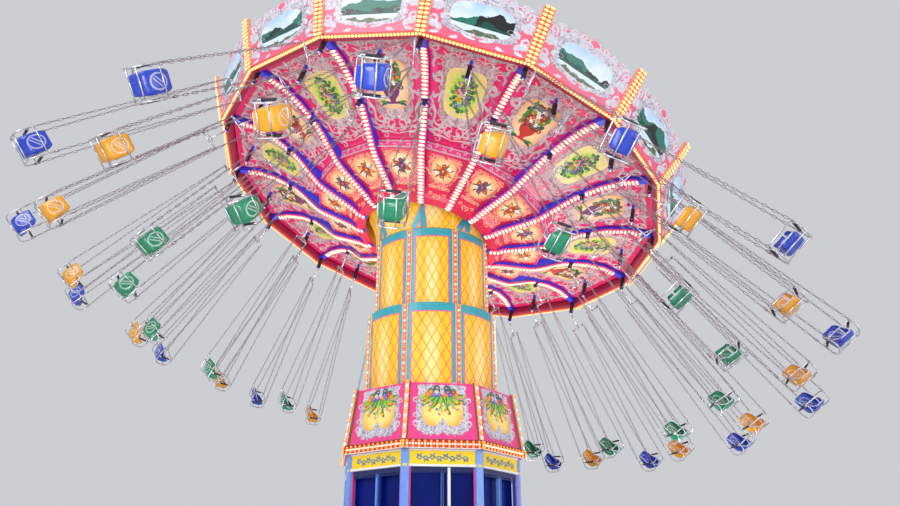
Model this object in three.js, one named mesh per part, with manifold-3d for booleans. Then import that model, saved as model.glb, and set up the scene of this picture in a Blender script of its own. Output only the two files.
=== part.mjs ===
// A chair swing ride: a raised deck, an eight-sided booth, a telescoping tower, and a tilting,
// turning canopy with 48 seats on chains in three rings. Millimetres, +Z up, ground at z = 0.
// The stored pose is the ride in full flight: tower up, canopy tilted, seats flown out.
import * as THREE from "three";
import { mergeVertices } from "three/addons/utils/BufferGeometryUtils.js";
import Module from "manifold-3d";

const wasm = await Module();
wasm.setup();
const { Manifold, Mesh } = wasm;

const DEG = Math.PI / 180;
const GAP = 0.3; // between pieces that touch

// Heights of the tower's stages
const DECK_TOP = 1250;
const SILL_TOP = 2150;
const BOOTH_TOP = 3490;
const SIGN_TOP = 3796;
const SKIRT_TOP = 5008;
const LOWER_SLEEVE_TOP = 6657;
const UPPER_SLEEVE_TOP = 8331;
const BELL_TOP = 9040;
const PIVOT_HEIGHT = 9130;

// Plan sizes: radii to the corners, and the corner directions in degrees
const DECK_RADIUS = 6000;
const BOOTH_RADIUS = 1750;
const BOOTH_TURN = -90 + 22.5 + 7.4;
const SKIRT_BOTTOM_RADIUS = 1812;
const SKIRT_TOP_RADIUS = 1633;
const LOWER_SLEEVE_RADIUS = 1330;
const UPPER_SLEEVE_RADIUS = 1190;
const STRIP_PROUD = 24;
const TOWER_TURN = -90 + 22.5;
const MAST_RADIUS = 500;
const INNER_MAST_RADIUS = 460;

// The canopy: how it leans, and its sizes in its own frame, whose origin is the rim's centre
const TILT = 15.7;
const LEAN = 32.6;
const CANOPY_RISE = 400; // rim plane over the tilt pivot
const CANOPY_TURN = 17.8;
const BAYS = 16;
const BAY = 360 / BAYS;
const RIM_RADIUS = 4990;
const RIM_INNER = 4860;
const HUB_RADIUS = 1570;
const HUB_BOTTOM = -1000;
const RIB_WIDTH = 110;
const RIB_DEPTH = 90;
const CEILING_THICK = 30;
// The underside of a rib, as radius and height: inner panel, riser, then the arched outer panel
const INNER_UNDERSIDE = [[1570, -980], [2590, -680]];
const OUTER_UNDERSIDE = [[2630, -490], [3200, -230], [3850, 10], [4300, 95], [4800, 60]];
const CROWN_OUTSIDE = [[5030, -20], [5400, 700], [5500, 920]];
const ROOF_EDGE = [5300, 570];
const ROOF_APEX = 1220;

// The swings: hinge depth under the rim plane, chain length and flight
const HINGE_DEPTH = 300;
const SWING_LENGTH = 4330; // hinge to the middle of the seat
const PULL_PER_METRE = 0.127; // centrifugal pull over weight, for each metre of radius
const WAVE_SHARE = 0.08; // more pull where the canopy's wave throws the seats
const WAVE_AZIMUTH = 162;
const LEAD_ANGLE = -4.6;
const RINGS = [
  { name: "inner", radius: 3450, offset: 0, colour: 0x2f9a7c },
  { name: "middle", radius: 4360, offset: BAY / 2, colour: 0xf0a81c },
  { name: "outer", radius: 4830, offset: 0, colour: 0x2a4fd0 },
];

// Solids

function solid(geometry) {
  const bare = geometry.clone();
  bare.deleteAttribute("normal");
  bare.deleteAttribute("uv");
  const merged = mergeVertices(bare, 1e-3);
  const vertProperties = new Float32Array(merged.attributes.position.array);
  const triVerts = new Uint32Array(merged.index.array);
  let made = new Manifold(new Mesh({ numProp: 3, vertProperties, triVerts }));
  if (made.volume() < 0) {
    made = new Manifold(new Mesh({ numProp: 3, vertProperties, triVerts: triVerts.reverse() }));
  }
  return made;
}

function join(parts) {
  return Manifold.union(parts);
}

// Faces that a join left lying flat against each other become one
function geometryOf(body) {
  const mesh = body.asOriginal().simplify(0.01).getMesh();
  const geometry = new THREE.BufferGeometry();
  geometry.setAttribute("position", new THREE.BufferAttribute(new Float32Array(mesh.vertProperties), 3));
  geometry.setIndex(new THREE.BufferAttribute(new Uint32Array(mesh.triVerts), 1));
  geometry.computeVertexNormals();
  return geometry;
}

function box(x0, x1, y0, y1, z0, z1) {
  const geometry = new THREE.BoxGeometry(x1 - x0, y1 - y0, z1 - z0);
  geometry.translate((x0 + x1) / 2, (y0 + y1) / 2, (z0 + z1) / 2);
  return solid(geometry);
}

// A prism between two points. Four sides stand square to the world, and radius is to the corners.
function bar(from, to, radius, sides = 4) {
  const start = new THREE.Vector3(...from);
  const along = new THREE.Vector3(...to).sub(start);
  const geometry = new THREE.CylinderGeometry(radius, radius, along.length(), sides);
  geometry.rotateY(Math.PI / sides);
  const turn = new THREE.Quaternion().setFromUnitVectors(
    new THREE.Vector3(0, 1, 0),
    along.clone().normalize(),
  );
  geometry.applyQuaternion(turn);
  const middle = start.clone().addScaledVector(along, 0.5);
  geometry.translate(middle.x, middle.y, middle.z);
  return solid(geometry);
}

// A profile of [radius, height] points turned around Z in flat sides, with a corner at azimuth turn
function turned(profile, sides, turn = 0, closed = true) {
  const points = profile.map(([r, h]) => new THREE.Vector2(r, h));
  if (closed) points.push(points[0].clone());
  const geometry = new THREE.LatheGeometry(points, sides, (turn + 90) * DEG);
  geometry.rotateX(Math.PI / 2);
  return solid(geometry);
}

function band(inner, outer, z0, z1, sides, turn = 0) {
  return turned([[inner, z0], [outer, z0], [outer, z1], [inner, z1]], sides, turn);
}

function disc(radius, z0, z1, sides, turn = 0) {
  return turned([[0, z0], [radius, z0], [radius, z1], [0, z1]], sides, turn, false);
}

// A [radius, height] outline as a plate of the given thickness in the radial plane of azimuth 0
function radialPlate(outline, thick) {
  const shape = new THREE.Shape(outline.map(([r, h]) => new THREE.Vector2(r, h)));
  const geometry = new THREE.ExtrudeGeometry(shape, { depth: thick, bevelEnabled: false });
  geometry.translate(0, 0, -thick / 2);
  geometry.rotateX(Math.PI / 2);
  return solid(geometry);
}

function around(body, count, first = 0) {
  const copies = [];
  for (let i = 0; i < count; i += 1) {
    copies.push(body.rotate([0, 0, first + (360 / count) * i]));
  }
  return join(copies);
}

// The base

function deck() {
  const boards = disc(DECK_RADIUS, DECK_TOP - 60, DECK_TOP, 16);
  const edge = band(DECK_RADIUS - 60, DECK_RADIUS, 160, DECK_TOP - 50, 16);
  const pedestal = disc(950, 0, DECK_TOP - 50, 16);
  const beam = box(800, DECK_RADIUS * 0.94, -60, 60, DECK_TOP - 260, DECK_TOP - 50);
  const outerLeg = join([
    box(5400, 5520, -60, 60, 20, DECK_TOP - 50),
    box(5310, 5610, -150, 150, 0, 30),
  ]);
  const innerLeg = join([
    box(3240, 3360, -60, 60, 20, DECK_TOP - 250),
    box(3150, 3450, -150, 150, 0, 30),
  ]);
  const parts = [boards, edge, pedestal];
  parts.push(around(join([beam, outerLeg]), BAYS));
  parts.push(around(innerLeg, BAYS / 2));
  parts.push(steps(-146.25), steps(-33.75));
  return join(parts);
}

// A flight of steps that climbs to the middle of a deck side
function steps(azimuth) {
  const rises = 7;
  const rise = DECK_TOP / rises;
  const going = 280;
  const top = DECK_RADIUS * Math.cos(11.25 * DEG) - 5;
  const parts = [];
  for (let i = 1; i < rises; i += 1) {
    const out = top + going * (rises - i);
    parts.push(box(out - going - 20, out, -700, 700, rise * i - 45, rise * i));
  }
  const foot = top + going * (rises - 1) + 20;
  const stringer = [[top, DECK_TOP - 260], [foot - 240, 0], [foot, 0], [foot, 120], [top, DECK_TOP - 20]];
  const plate = radialPlate(stringer, 50);
  parts.push(plate.translate([0, 675, 0]), plate.translate([0, -675, 0]));
  return join(parts).rotate([0, 0, azimuth]);
}

function boothFrame() {
  const low = DECK_TOP + GAP;
  const parts = [
    band(1560, BOOTH_RADIUS - 25, low, SILL_TOP, 8, BOOTH_TURN),
    band(1560, BOOTH_RADIUS - 25, BOOTH_TOP - 90, BOOTH_TOP, 8, BOOTH_TURN),
  ];
  const post = bar([BOOTH_RADIUS - 75, 0, low], [BOOTH_RADIUS - 75, 0, BOOTH_TOP], 75, 8);
  parts.push(around(post, 8, BOOTH_TURN));
  const face = (BOOTH_RADIUS - 25) * Math.cos(22.5 * DEG);
  const mullion = box(face - 70, face - 10, -22, 22, SILL_TOP - 10, BOOTH_TOP - 80);
  parts.push(around(mullion, 8, BOOTH_TURN + 22.5));
  return join(parts);
}

function boothGlass() {
  return band(1572, 1586, SILL_TOP + GAP, BOOTH_TOP - 90 - GAP, 8, BOOTH_TURN);
}

function signFascia() {
  const low = BOOTH_TOP + GAP;
  const board = band(1600, BOOTH_RADIUS, low, SIGN_TOP, 8, BOOTH_TURN);
  const trim = band(1700, BOOTH_RADIUS + 22, low, low + 45, 8, BOOTH_TURN);
  return join([board, trim]);
}

function skirt() {
  const low = SIGN_TOP + GAP;
  const wall = turned(
    [
      [SKIRT_BOTTOM_RADIUS, low],
      [SKIRT_TOP_RADIUS, SKIRT_TOP],
      [SKIRT_TOP_RADIUS - 170, SKIRT_TOP],
      [SKIRT_TOP_RADIUS - 170, SKIRT_TOP - 35],
      [SKIRT_TOP_RADIUS - 50, SKIRT_TOP - 35],
      [SKIRT_BOTTOM_RADIUS - 50, low + 40],
      [1600, low + 40],
      [1600, low],
    ],
    8,
    BOOTH_TURN,
  );
  const opening = disc(1410, SKIRT_TOP - 100, SKIRT_TOP + 100, 32);
  return wall.subtract(opening);
}

// The tower

function sleeve(radius, z0, z1) {
  const parts = [band(radius - 40, radius, z0, z1, 24, TOWER_TURN)];
  const strip = box(radius - 20, radius + STRIP_PROUD, -45, 45, z0, z1);
  parts.push(around(strip, 8, TOWER_TURN));
  return join(parts);
}

function mast() {
  const low = DECK_TOP + GAP;
  return join([
    band(MAST_RADIUS - 25, MAST_RADIUS, low, 4700, 16),
    band(MAST_RADIUS - 25, 820, low, low + 60, 16),
  ]);
}

function upperTower() {
  const bellOutside = [
    [UPPER_SLEEVE_RADIUS, UPPER_SLEEVE_TOP - 40],
    [1213, UPPER_SLEEVE_TOP],
    [1240, UPPER_SLEEVE_TOP + 320],
    [1320, UPPER_SLEEVE_TOP + 570],
    [1400, BELL_TOP],
  ];
  const bellInside = bellOutside.map(([r, h]) => [r - 32, h]).reverse();
  const parts = [
    sleeve(UPPER_SLEEVE_RADIUS, 6200, UPPER_SLEEVE_TOP - 10),
    turned([...bellOutside, ...bellInside], 24, TOWER_TURN),
    band(INNER_MAST_RADIUS - 40, INNER_MAST_RADIUS, 4300, PIVOT_HEIGHT - 230, 16),
    band(INNER_MAST_RADIUS - 20, UPPER_SLEEVE_RADIUS - 20, 7700, 7740, 16, TOWER_TURN),
    band(INNER_MAST_RADIUS - 20, UPPER_SLEEVE_RADIUS - 10, 8300, 8340, 16, TOWER_TURN),
    disc(INNER_MAST_RADIUS, PIVOT_HEIGHT - 230, PIVOT_HEIGHT - 190, 16),
  ];
  // The two cheeks that hold the tilting head's trunnion, on the tilt axis
  const cheek = box(-150, 150, 300, 350, PIVOT_HEIGHT - 200, PIVOT_HEIGHT + 110);
  const cheeks = join([cheek, cheek.rotate([0, 0, 180])]);
  parts.push(cheeks.rotate([0, 0, LEAN]));
  return join(parts);
}

// The canopy, in its own frame

function tiltHead() {
  const pivot = -CANOPY_RISE;
  return join([
    bar([0, -290, pivot], [0, 290, pivot], 80, 12).rotate([0, 0, LEAN]),
    box(-110, 110, -260, 260, pivot, pivot + 180).rotate([0, 0, LEAN]),
    disc(560, pivot + 170, pivot + 240, 24),
  ]);
}

function raised(profile, by) {
  return profile.map(([r, h]) => [r, h + by]);
}

function canopyFrame() {
  const [hubEnd, ...innerRest] = INNER_UNDERSIDE;
  const rootEnd = [HUB_RADIUS - 25, hubEnd[1] - 8];
  const underside = [rootEnd, ...innerRest, ...OUTER_UNDERSIDE, [RIM_INNER + 40, 50]];
  const ribTop = raised(underside, RIB_DEPTH - 1).reverse();
  const plate = -CANOPY_RISE + 250;
  const parts = [
    band(RIM_INNER, RIM_RADIUS, -20, 420, BAYS, CANOPY_TURN),
    band(HUB_RADIUS - 40, HUB_RADIUS, HUB_BOTTOM, 120, BAYS, CANOPY_TURN),
    disc(640, plate, plate + 70, 24),
  ];
  const rib = radialPlate([...underside, ...ribTop], RIB_WIDTH);
  const spoke = bar([400, 0, plate + 70], [RIM_INNER + 60, 0, 360], 75);
  const innerLug = lug(RINGS[0].radius, -60);
  const outerLug = lug(RINGS[2].radius, 80);
  parts.push(around(join([rib, innerLug, outerLug]), BAYS, CANOPY_TURN));
  parts.push(around(spoke, BAYS, CANOPY_TURN));
  const crossRadius = RINGS[1].radius / Math.cos((BAY / 2) * DEG);
  parts.push(band(crossRadius - 40, crossRadius + 40, 270, 350, BAYS, CANOPY_TURN));
  parts.push(around(lug(RINGS[1].radius, 290), BAYS, CANOPY_TURN + BAY / 2));
  return join(parts);
}

// The block that a swing's hinge hangs from
function lug(radius, top) {
  return box(radius - 28, radius + 28, -28, 28, -HINGE_DEPTH + 34, top);
}

function ceiling() {
  const lift = RIB_DEPTH + GAP;
  const inner = raised(INNER_UNDERSIDE, lift);
  inner[0][0] = HUB_RADIUS + GAP;
  const lower = [...inner, ...raised(OUTER_UNDERSIDE, lift)];
  const upper = raised(lower, CEILING_THICK).reverse();
  const shell = turned([...lower, ...upper], BAYS, CANOPY_TURN);
  const reach = RINGS[1].radius;
  const hole = box(reach - 45, reach + 45, -45, 45, 100, 280);
  return shell.subtract(around(hole, BAYS, CANOPY_TURN + BAY / 2));
}

function crown() {
  const foot = RIM_RADIUS + GAP;
  const inside = CROWN_OUTSIDE.slice(1).map(([r, h]) => [r - 32, h + 12]).reverse();
  const boards = turned([[foot, -20], ...CROWN_OUTSIDE, ...inside, [foot, 30]], BAYS, CANOPY_TURN);
  const [edge, low] = ROOF_EDGE;
  const roof = turned(
    [[0, ROOF_APEX], [edge, low], [edge + 24, low + 24], [0, ROOF_APEX + 24]],
    BAYS,
    CANOPY_TURN,
    false,
  );
  return join([boards, roof]);
}

// A swing, in its own frame: the hinge at the origin, the seat below, facing +X

function swing() {
  const seat = -SWING_LENGTH;
  const half = 245;
  const wall = 26;
  const back = -222;
  const front = 200;
  const floor = seat - 178;
  const spreader = -420;
  const rail = seat + 60;
  const shell = box(back, front, -half, half, floor, seat + 20).subtract(
    box(back + wall, front + 100, -half + wall, half - wall, floor + wall, seat + 100),
  );
  const railing = box(back, front, -half, half, rail - wall, rail).subtract(
    box(back - 100, front - wall, -half + wall, half - wall, rail - 100, rail + 100),
  );
  const parts = [
    shell,
    railing,
    box(back, back + wall, -half, half, floor, seat + 270),
    bar([0, 0, 24], [0, 0, spreader], 20),
    box(-20, 20, -half, half, spreader - 20, spreader + 20),
  ];
  for (const side of [-1, 1]) {
    const y = side * (half - wall / 2);
    parts.push(box(front - wall, front, y - wall / 2, y + wall / 2, seat, rail));
    parts.push(bar([0, y, spreader], [front - wall, y, rail - 10], 9, 3));
    parts.push(bar([0, y, spreader], [back + wall / 2, y, seat + 262], 9, 3));
  }
  return join(parts);
}

function flightDirection(azimuth, radius, frame) {
  const out = new THREE.Vector3(1, 0, 0).applyAxisAngle(new THREE.Vector3(0, 0, 1), azimuth * DEG);
  const pull = new THREE.Vector3(1, 0, 0).applyAxisAngle(
    new THREE.Vector3(0, 0, 1),
    (azimuth + LEAD_ANGLE) * DEG,
  );
  out.applyQuaternion(frame.quaternion);
  pull.applyQuaternion(frame.quaternion);
  const strength = PULL_PER_METRE * (1 + WAVE_SHARE * Math.cos((azimuth - WAVE_AZIMUTH) * DEG));
  const down = new THREE.Vector3(0, 0, -1);
  const direction = down.clone();
  let reach = radius + 0.7 * SWING_LENGTH;
  for (let step = 0; step < 8; step += 1) {
    direction.copy(down).addScaledVector(pull, (strength * reach) / 1000).normalize();
    reach = radius + SWING_LENGTH * direction.dot(out);
  }
  return direction;
}

function placeSwing(mesh, azimuth, radius, frame) {
  const up = new THREE.Vector3(0, 0, 1);
  const hinge = new THREE.Vector3(radius, 0, -HINGE_DEPTH).applyAxisAngle(up, azimuth * DEG);
  mesh.position.copy(hinge.applyQuaternion(frame.quaternion).add(frame.position));
  const along = flightDirection(azimuth, radius, frame);
  // Riders face the way the canopy turns, clockwise from above
  const facing = new THREE.Vector3(0, -1, 0).applyAxisAngle(up, azimuth * DEG);
  facing.applyQuaternion(frame.quaternion).addScaledVector(along, -facing.dot(along)).normalize();
  const top = along.clone().negate();
  const side = top.clone().cross(facing);
  mesh.quaternion.setFromRotationMatrix(new THREE.Matrix4().makeBasis(facing, side, top));
}

// The assembly

function mesh(name, geometry, color, roughness, metalness = 0) {
  const material = new THREE.MeshStandardMaterial({ color, roughness, metalness });
  const made = new THREE.Mesh(geometry, material);
  made.name = name;
  return made;
}

const ride = new THREE.Group();
ride.add(mesh("base_deck", geometryOf(deck()), 0x8a8d92, 0.6, 0.4));
ride.add(mesh("booth_frame", geometryOf(boothFrame()), 0x9cc4ea, 0.5));
ride.add(mesh("booth_glass", geometryOf(boothGlass()), 0x14347a, 0.1));
ride.add(mesh("sign_fascia", geometryOf(signFascia()), 0xf2c51f, 0.5));
ride.add(mesh("skirt", geometryOf(skirt()), 0xe0408c, 0.5));
ride.add(mesh("mast", geometryOf(mast()), 0x9a9da3, 0.4, 0.8));
ride.add(mesh("lower_sleeve", geometryOf(sleeve(LOWER_SLEEVE_RADIUS, 4550, LOWER_SLEEVE_TOP)), 0xf0b428, 0.5));
ride.add(mesh("upper_sleeve", geometryOf(upperTower()), 0xf0a030, 0.5));

const canopy = new THREE.Group();
const tiltAxis = new THREE.Vector3(-Math.sin(LEAN * DEG), Math.cos(LEAN * DEG), 0);
canopy.quaternion.setFromAxisAngle(tiltAxis, TILT * DEG);
canopy.position.set(0, 0, CANOPY_RISE).applyQuaternion(canopy.quaternion);
canopy.position.z += PIVOT_HEIGHT;
canopy.add(mesh("tilt_head", geometryOf(tiltHead()), 0x8e9196, 0.4, 0.8));
canopy.add(mesh("canopy_frame", geometryOf(canopyFrame()), 0x2438c8, 0.5));
canopy.add(mesh("ceiling", geometryOf(ceiling()), 0xd83a86, 0.5));
canopy.add(mesh("crown", geometryOf(crown()), 0xe86aa4, 0.5));
ride.add(canopy);

const swingGeometry = geometryOf(swing());
for (const ring of RINGS) {
  for (let i = 0; i < BAYS; i += 1) {
    const name = `swing_${ring.name}_${String(i + 1).padStart(2, "0")}`;
    const seat = mesh(name, swingGeometry, ring.colour, 0.4);
    placeSwing(seat, CANOPY_TURN + ring.offset + BAY * i, ring.radius, canopy);
    ride.add(seat);
  }
}

export default ride;
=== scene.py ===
"""Chair swing ride: painted panels, lamps, scroll ornament, chains and moulded seats round its frame."""

import math
from functools import partialmethod

import bmesh
import bpy
from bpy.props import FloatProperty, FloatVectorProperty, PointerProperty
from mathutils import Matrix, Vector


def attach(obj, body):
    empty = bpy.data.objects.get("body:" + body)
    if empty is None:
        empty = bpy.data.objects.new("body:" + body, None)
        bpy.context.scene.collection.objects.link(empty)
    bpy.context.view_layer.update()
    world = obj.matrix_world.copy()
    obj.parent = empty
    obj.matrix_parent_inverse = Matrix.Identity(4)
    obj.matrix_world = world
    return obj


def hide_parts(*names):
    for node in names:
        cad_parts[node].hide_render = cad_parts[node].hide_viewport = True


bl_info = {
    "name": "Chair swing ride",
    "version": (1, 0, 0),
    "blender": (4, 5, 0),
    "location": "3D View > Sidebar > Swing ride",
    "description": "Dresses the frame of a chair swing ride, with sizes and colours to change",
    "category": "Object",
}

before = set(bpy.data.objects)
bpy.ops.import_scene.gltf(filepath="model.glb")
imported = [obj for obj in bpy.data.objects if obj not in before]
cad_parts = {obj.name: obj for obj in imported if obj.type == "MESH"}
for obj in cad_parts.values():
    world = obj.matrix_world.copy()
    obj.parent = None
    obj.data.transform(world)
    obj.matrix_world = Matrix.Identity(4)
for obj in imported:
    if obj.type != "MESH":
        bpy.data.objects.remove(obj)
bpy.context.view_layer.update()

# Heights and radii of the frame, in metres, as the part's source has them
DECK_TOP = 1.25
SILL_TOP = 2.15
BOOTH_TOP = 3.49
SIGN_TOP = 3.796
SKIRT_TOP = 5.008
LOWER_SLEEVE_FOOT = 4.56
LOWER_SLEEVE_TOP = 6.657
UPPER_SLEEVE_FOOT = 6.21
UPPER_SLEEVE_TOP = 8.331
BELL_TOP = 9.04
PIVOT_HEIGHT = 9.13
DECK_RADIUS = 6.0
BOOTH_RADIUS = 1.75
SKIRT_FOOT_RADIUS = 1.812
SKIRT_HEAD_RADIUS = 1.633
LOWER_SLEEVE_RADIUS = 1.33
UPPER_SLEEVE_RADIUS = 1.19
BOOTH_TURN = -67.5 + 7.4
TOWER_TURN = -67.5
DECK_SIDES = 16
STEP_SIDES = (9, 14)
TOWER_SIDES = 8
SIDE = 360 / TOWER_SIDES
PEAK_SHIFT = 9.1

# The canopy in its own frame, whose origin is the middle of the rim
TILT = 15.7
LEAN = 32.6
CANOPY_RISE = 0.4
CANOPY_TURN = 17.8
BAYS = 16
BAY = 360 / BAYS
RIM_RADIUS = 4.99
RIB_DEPTH = 0.09
INNER_CEILING = [(1.57, -0.98), (2.59, -0.68)]
OUTER_CEILING = [(2.63, -0.49), (3.2, -0.23), (3.85, 0.01), (4.3, 0.095), (4.8, 0.06)]
CROWN_OUTSIDE = [(5.03, -0.02), (5.4, 0.7), (5.5, 0.92)]
ROOF_EDGE = (5.3, 0.57)
ROOF_APEX = 1.22

# The swings
HINGE_DEPTH = 0.3
SWING_LENGTH = 4.33
PULL_PER_METRE = 0.127
WAVE_SHARE = 0.08
WAVE_AZIMUTH = 162
LEAD_ANGLE = -4.6
RINGS = [
    ("inner", 3.45, 0.0, "green_seat"),
    ("middle", 4.36, BAY / 2, "yellow_seat"),
    ("outer", 4.83, 0.0, "blue_seat"),
]
SPREADER_DEPTH = 0.42
SEAT_RAIL = 0.232  # half the distance between the side frames of a seat
CHAIN_FEET = [(0.174, 0.05), (-0.209, 0.262)]  # ahead of and over the middle of the seat

# The photograph's camera
LENS = 30.52
EYE = (0.0, -15.4, 1.6)
PITCH = 23.44
YAW = 1.46
ROLL = -0.2

UP = Vector((0, 0, 1))
BURIED = 0.002  # how far ornament reaches into its panel
GOLDEN_ANGLE = 2.39996  # between neighbours on a sunflower's spiral, in radians


def linear(code):
    """The scene-linear colour of a six-digit screen colour."""
    parts = [int(code[i : i + 2], 16) / 255 for i in (0, 2, 4)]
    return tuple(p / 12.92 if p < 0.04045 else ((p + 0.055) / 1.055) ** 2.4 for p in parts)


def hue(name, description, code):
    """A colour setting."""
    return FloatVectorProperty(
        name=name, description=description, subtype="COLOR", size=3, min=0, max=1, default=linear(code)
    )


def size(name, description, default):
    """A length setting."""
    return FloatProperty(name=name, description=description, unit="LENGTH", min=0.001, default=default)


class RideSizes(bpy.types.PropertyGroup):
    """Sizes of the dressing."""

    lamp_radius: size("Lamp radius", "Radius of a tower or skirt lamp", 0.026)
    cap_radius: size("Lens cap radius", "Half the length of a lens cap along its row", 0.029)
    cap_width: size("Lens cap width", "Half the width of a lens cap across a rib", 0.067)
    lamp_pitch: size("Lamp pitch", "Distance between lamps on the tower", 0.105)
    cap_pitch: size("Lens cap pitch", "Distance between lens caps on ribs and crown", 0.078)
    strip_width: size("Rib strip width", "Width of the lamp strip under a rib", 0.148)
    link_pitch: size("Chain pitch", "Distance between chain links", 0.1)
    link_wire: size("Chain wire", "Radius of the wire of a chain link", 0.0055)
    relief: size("Ornament relief", "How far scrolls stand off a panel", 0.007)


class RideColours(bpy.types.PropertyGroup):
    """Colours of the dressing."""

    gold: hue("Tower gold", "Tower panels at their edges", "FFC800")
    cream: hue("Cream", "Tower panels at their middle", "FFEFA0")
    lattice: hue("Lattice", "Diamond lines on the tower", "F0785A")
    teal: hue("Teal", "Frames and peaks on the tower", "2F9FAE")
    rose: hue("Rose", "Skirt panels and thin borders", "F0408C")
    magenta: hue("Magenta", "Outer ceiling panels", "E0045C")
    scarlet: hue("Scarlet", "Inner ceiling panels and lamp boards", "DE1C4C")
    blush: hue("Blush", "Crown panels", "EE6484")
    silver: hue("Silver", "Scrolls on the skirt and the crown", "DAD4E0")
    peach: hue("Peach", "Middle of the ceiling's picture fields", "FBD9A6")
    leaf: hue("Leaf green", "Leaves of the painted flowers", "2E8A34")
    rib: hue("Rib blue", "Ribs of the canopy", "2A38E6")
    sign: hue("Sign yellow", "Boards over the booth windows", "FFD808")
    post: hue("Post blue", "Corner posts of the booth", "6C9AEE")
    green_seat: hue("Green seats", "Inner ring of seats", "10875F")
    yellow_seat: hue("Yellow seats", "Middle ring of seats", "F2A50F")
    blue_seat: hue("Blue seats", "Outer ring of seats", "2042C4")


def palette():
    """The colour settings."""
    return bpy.context.scene.ride_colours


def sizes():
    """The size settings."""
    return bpy.context.scene.ride_sizes


def tint(code):
    """A colour from its six-digit screen code, or from the colour setting of that name."""
    return tuple(getattr(palette(), code)) if code in RideColours.__annotations__ else linear(code)


# Node trees


class Value:
    """A socket that carries a number, so that arithmetic on it adds Math nodes."""

    def __init__(self, graph, socket):
        self.graph = graph
        self.socket = socket

    def math(self, operation, *others):
        inputs = dict(enumerate((self, *others)))
        return self.graph.add("ShaderNodeMath", {"operation": operation}, inputs)[0]

    def __rsub__(self, other):
        return self.graph.add("ShaderNodeMath", {"operation": "SUBTRACT"}, {0: other, 1: self})[0]

    __add__ = __radd__ = partialmethod(math, "ADD")
    __sub__ = partialmethod(math, "SUBTRACT")
    __mul__ = __rmul__ = partialmethod(math, "MULTIPLY")
    __pow__ = partialmethod(math, "POWER")
    __lt__ = partialmethod(math, "LESS_THAN")
    __gt__ = partialmethod(math, "GREATER_THAN")
    __abs__ = partialmethod(math, "ABSOLUTE")


class Made:
    """A new node, whose outputs are read by name or number."""

    def __init__(self, graph, node):
        self.graph = graph
        self.node = node

    def __getitem__(self, key):
        if isinstance(key, int):
            return Value(self.graph, self.node.outputs[key])
        return Value(self.graph, next(s for s in self.node.outputs if s.name == key and s.enabled))


class Graph:
    """A node tree of a material or a modifier."""

    def __init__(self, tree):
        self.tree = tree

    def add(self, kind, settings=None, inputs=None):
        """A new node of a kind, with its settings and inputs."""
        node = self.tree.nodes.new(kind)
        for key, value in (settings or {}).items():
            setattr(node, key, value)
        for key, value in (inputs or {}).items():
            self.feed(node, key, value)
        return Made(self, node)

    def feed(self, node, key, value):
        """Links an input to a value or a list of values, or sets it. A text is a colour's code."""
        if isinstance(key, int):
            socket = node.inputs[key]
        else:
            socket = next(s for s in node.inputs if s.name == key and s.enabled)
        if isinstance(value, (Value, list)):
            for one in value if isinstance(value, list) else [value]:
                self.tree.links.new(one.socket, socket)
        elif socket.type == "RGBA":
            socket.default_value = (*(tint(value) if isinstance(value, str) else value), 1.0)
        else:
            socket.default_value = value

    def mix(self, factor, first, second, blend="MIX"):
        settings = {"data_type": "RGBA", "blend_type": blend}
        return self.add("ShaderNodeMix", settings, {0: factor, 6: first, 7: second})[2]

    def noise(self, where, scale, detail=3.0, distortion=0.0):
        inputs = {"Vector": where, "Scale": scale, "Detail": detail, "Distortion": distortion}
        return self.add("ShaderNodeTexNoise", {}, inputs)[0]

    def places(self):
        """Across and along a panel, from its UV map."""
        flat = self.add("ShaderNodeUVMap", {"uv_map": "place"})["UV"]
        parts = self.add("ShaderNodeSeparateXYZ", {}, {0: flat})
        return parts["X"], parts["Y"]

    def vector(self, x=0.0, y=0.0, z=0.0):
        return self.add("ShaderNodeCombineXYZ", {}, {"X": x, "Y": y, "Z": z})[0]

    def attribute(self, name, kind="FLOAT"):
        return self.add("GeometryNodeInputNamedAttribute", {"data_type": kind}, {"Name": name})["Attribute"]

    def marked(self, geometry, name, value, domain):
        """The geometry with an attribute stored on it."""
        settings = {"data_type": "FLOAT", "domain": domain}
        inputs = {"Geometry": geometry, "Name": name, "Value": value}
        return self.add("GeometryNodeStoreNamedAttribute", settings, inputs)[0]

    def changed(self, geometry, **inputs):
        """The geometry after a Transform node, whose inputs are named."""
        return self.add("GeometryNodeTransform", {}, {"Geometry": geometry, **inputs})[0]

    def aimed(self, axis, direction, before=None, pivot="AUTO"):
        """A rotation that turns an axis to a direction, after the rotation before it."""
        inputs = {"Vector": direction, **({"Rotation": before} if before else {})}
        return self.add("FunctionNodeAlignRotationToVector", {"axis": axis, "pivot_axis": pivot}, inputs)[0]

    def copied(self, points, instance, rotation):
        """Instances on points."""
        inputs = {"Points": points, "Instance": instance, "Rotation": rotation}
        return self.add("GeometryNodeInstanceOnPoints", {}, inputs)[0]

    def painted(self, geometry, material, **selection):
        """The geometry with a material, where a selection is given only there."""
        inputs = {"Geometry": geometry, "Material": material, **selection}
        return self.add("GeometryNodeSetMaterial", {}, inputs)[0]


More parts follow.
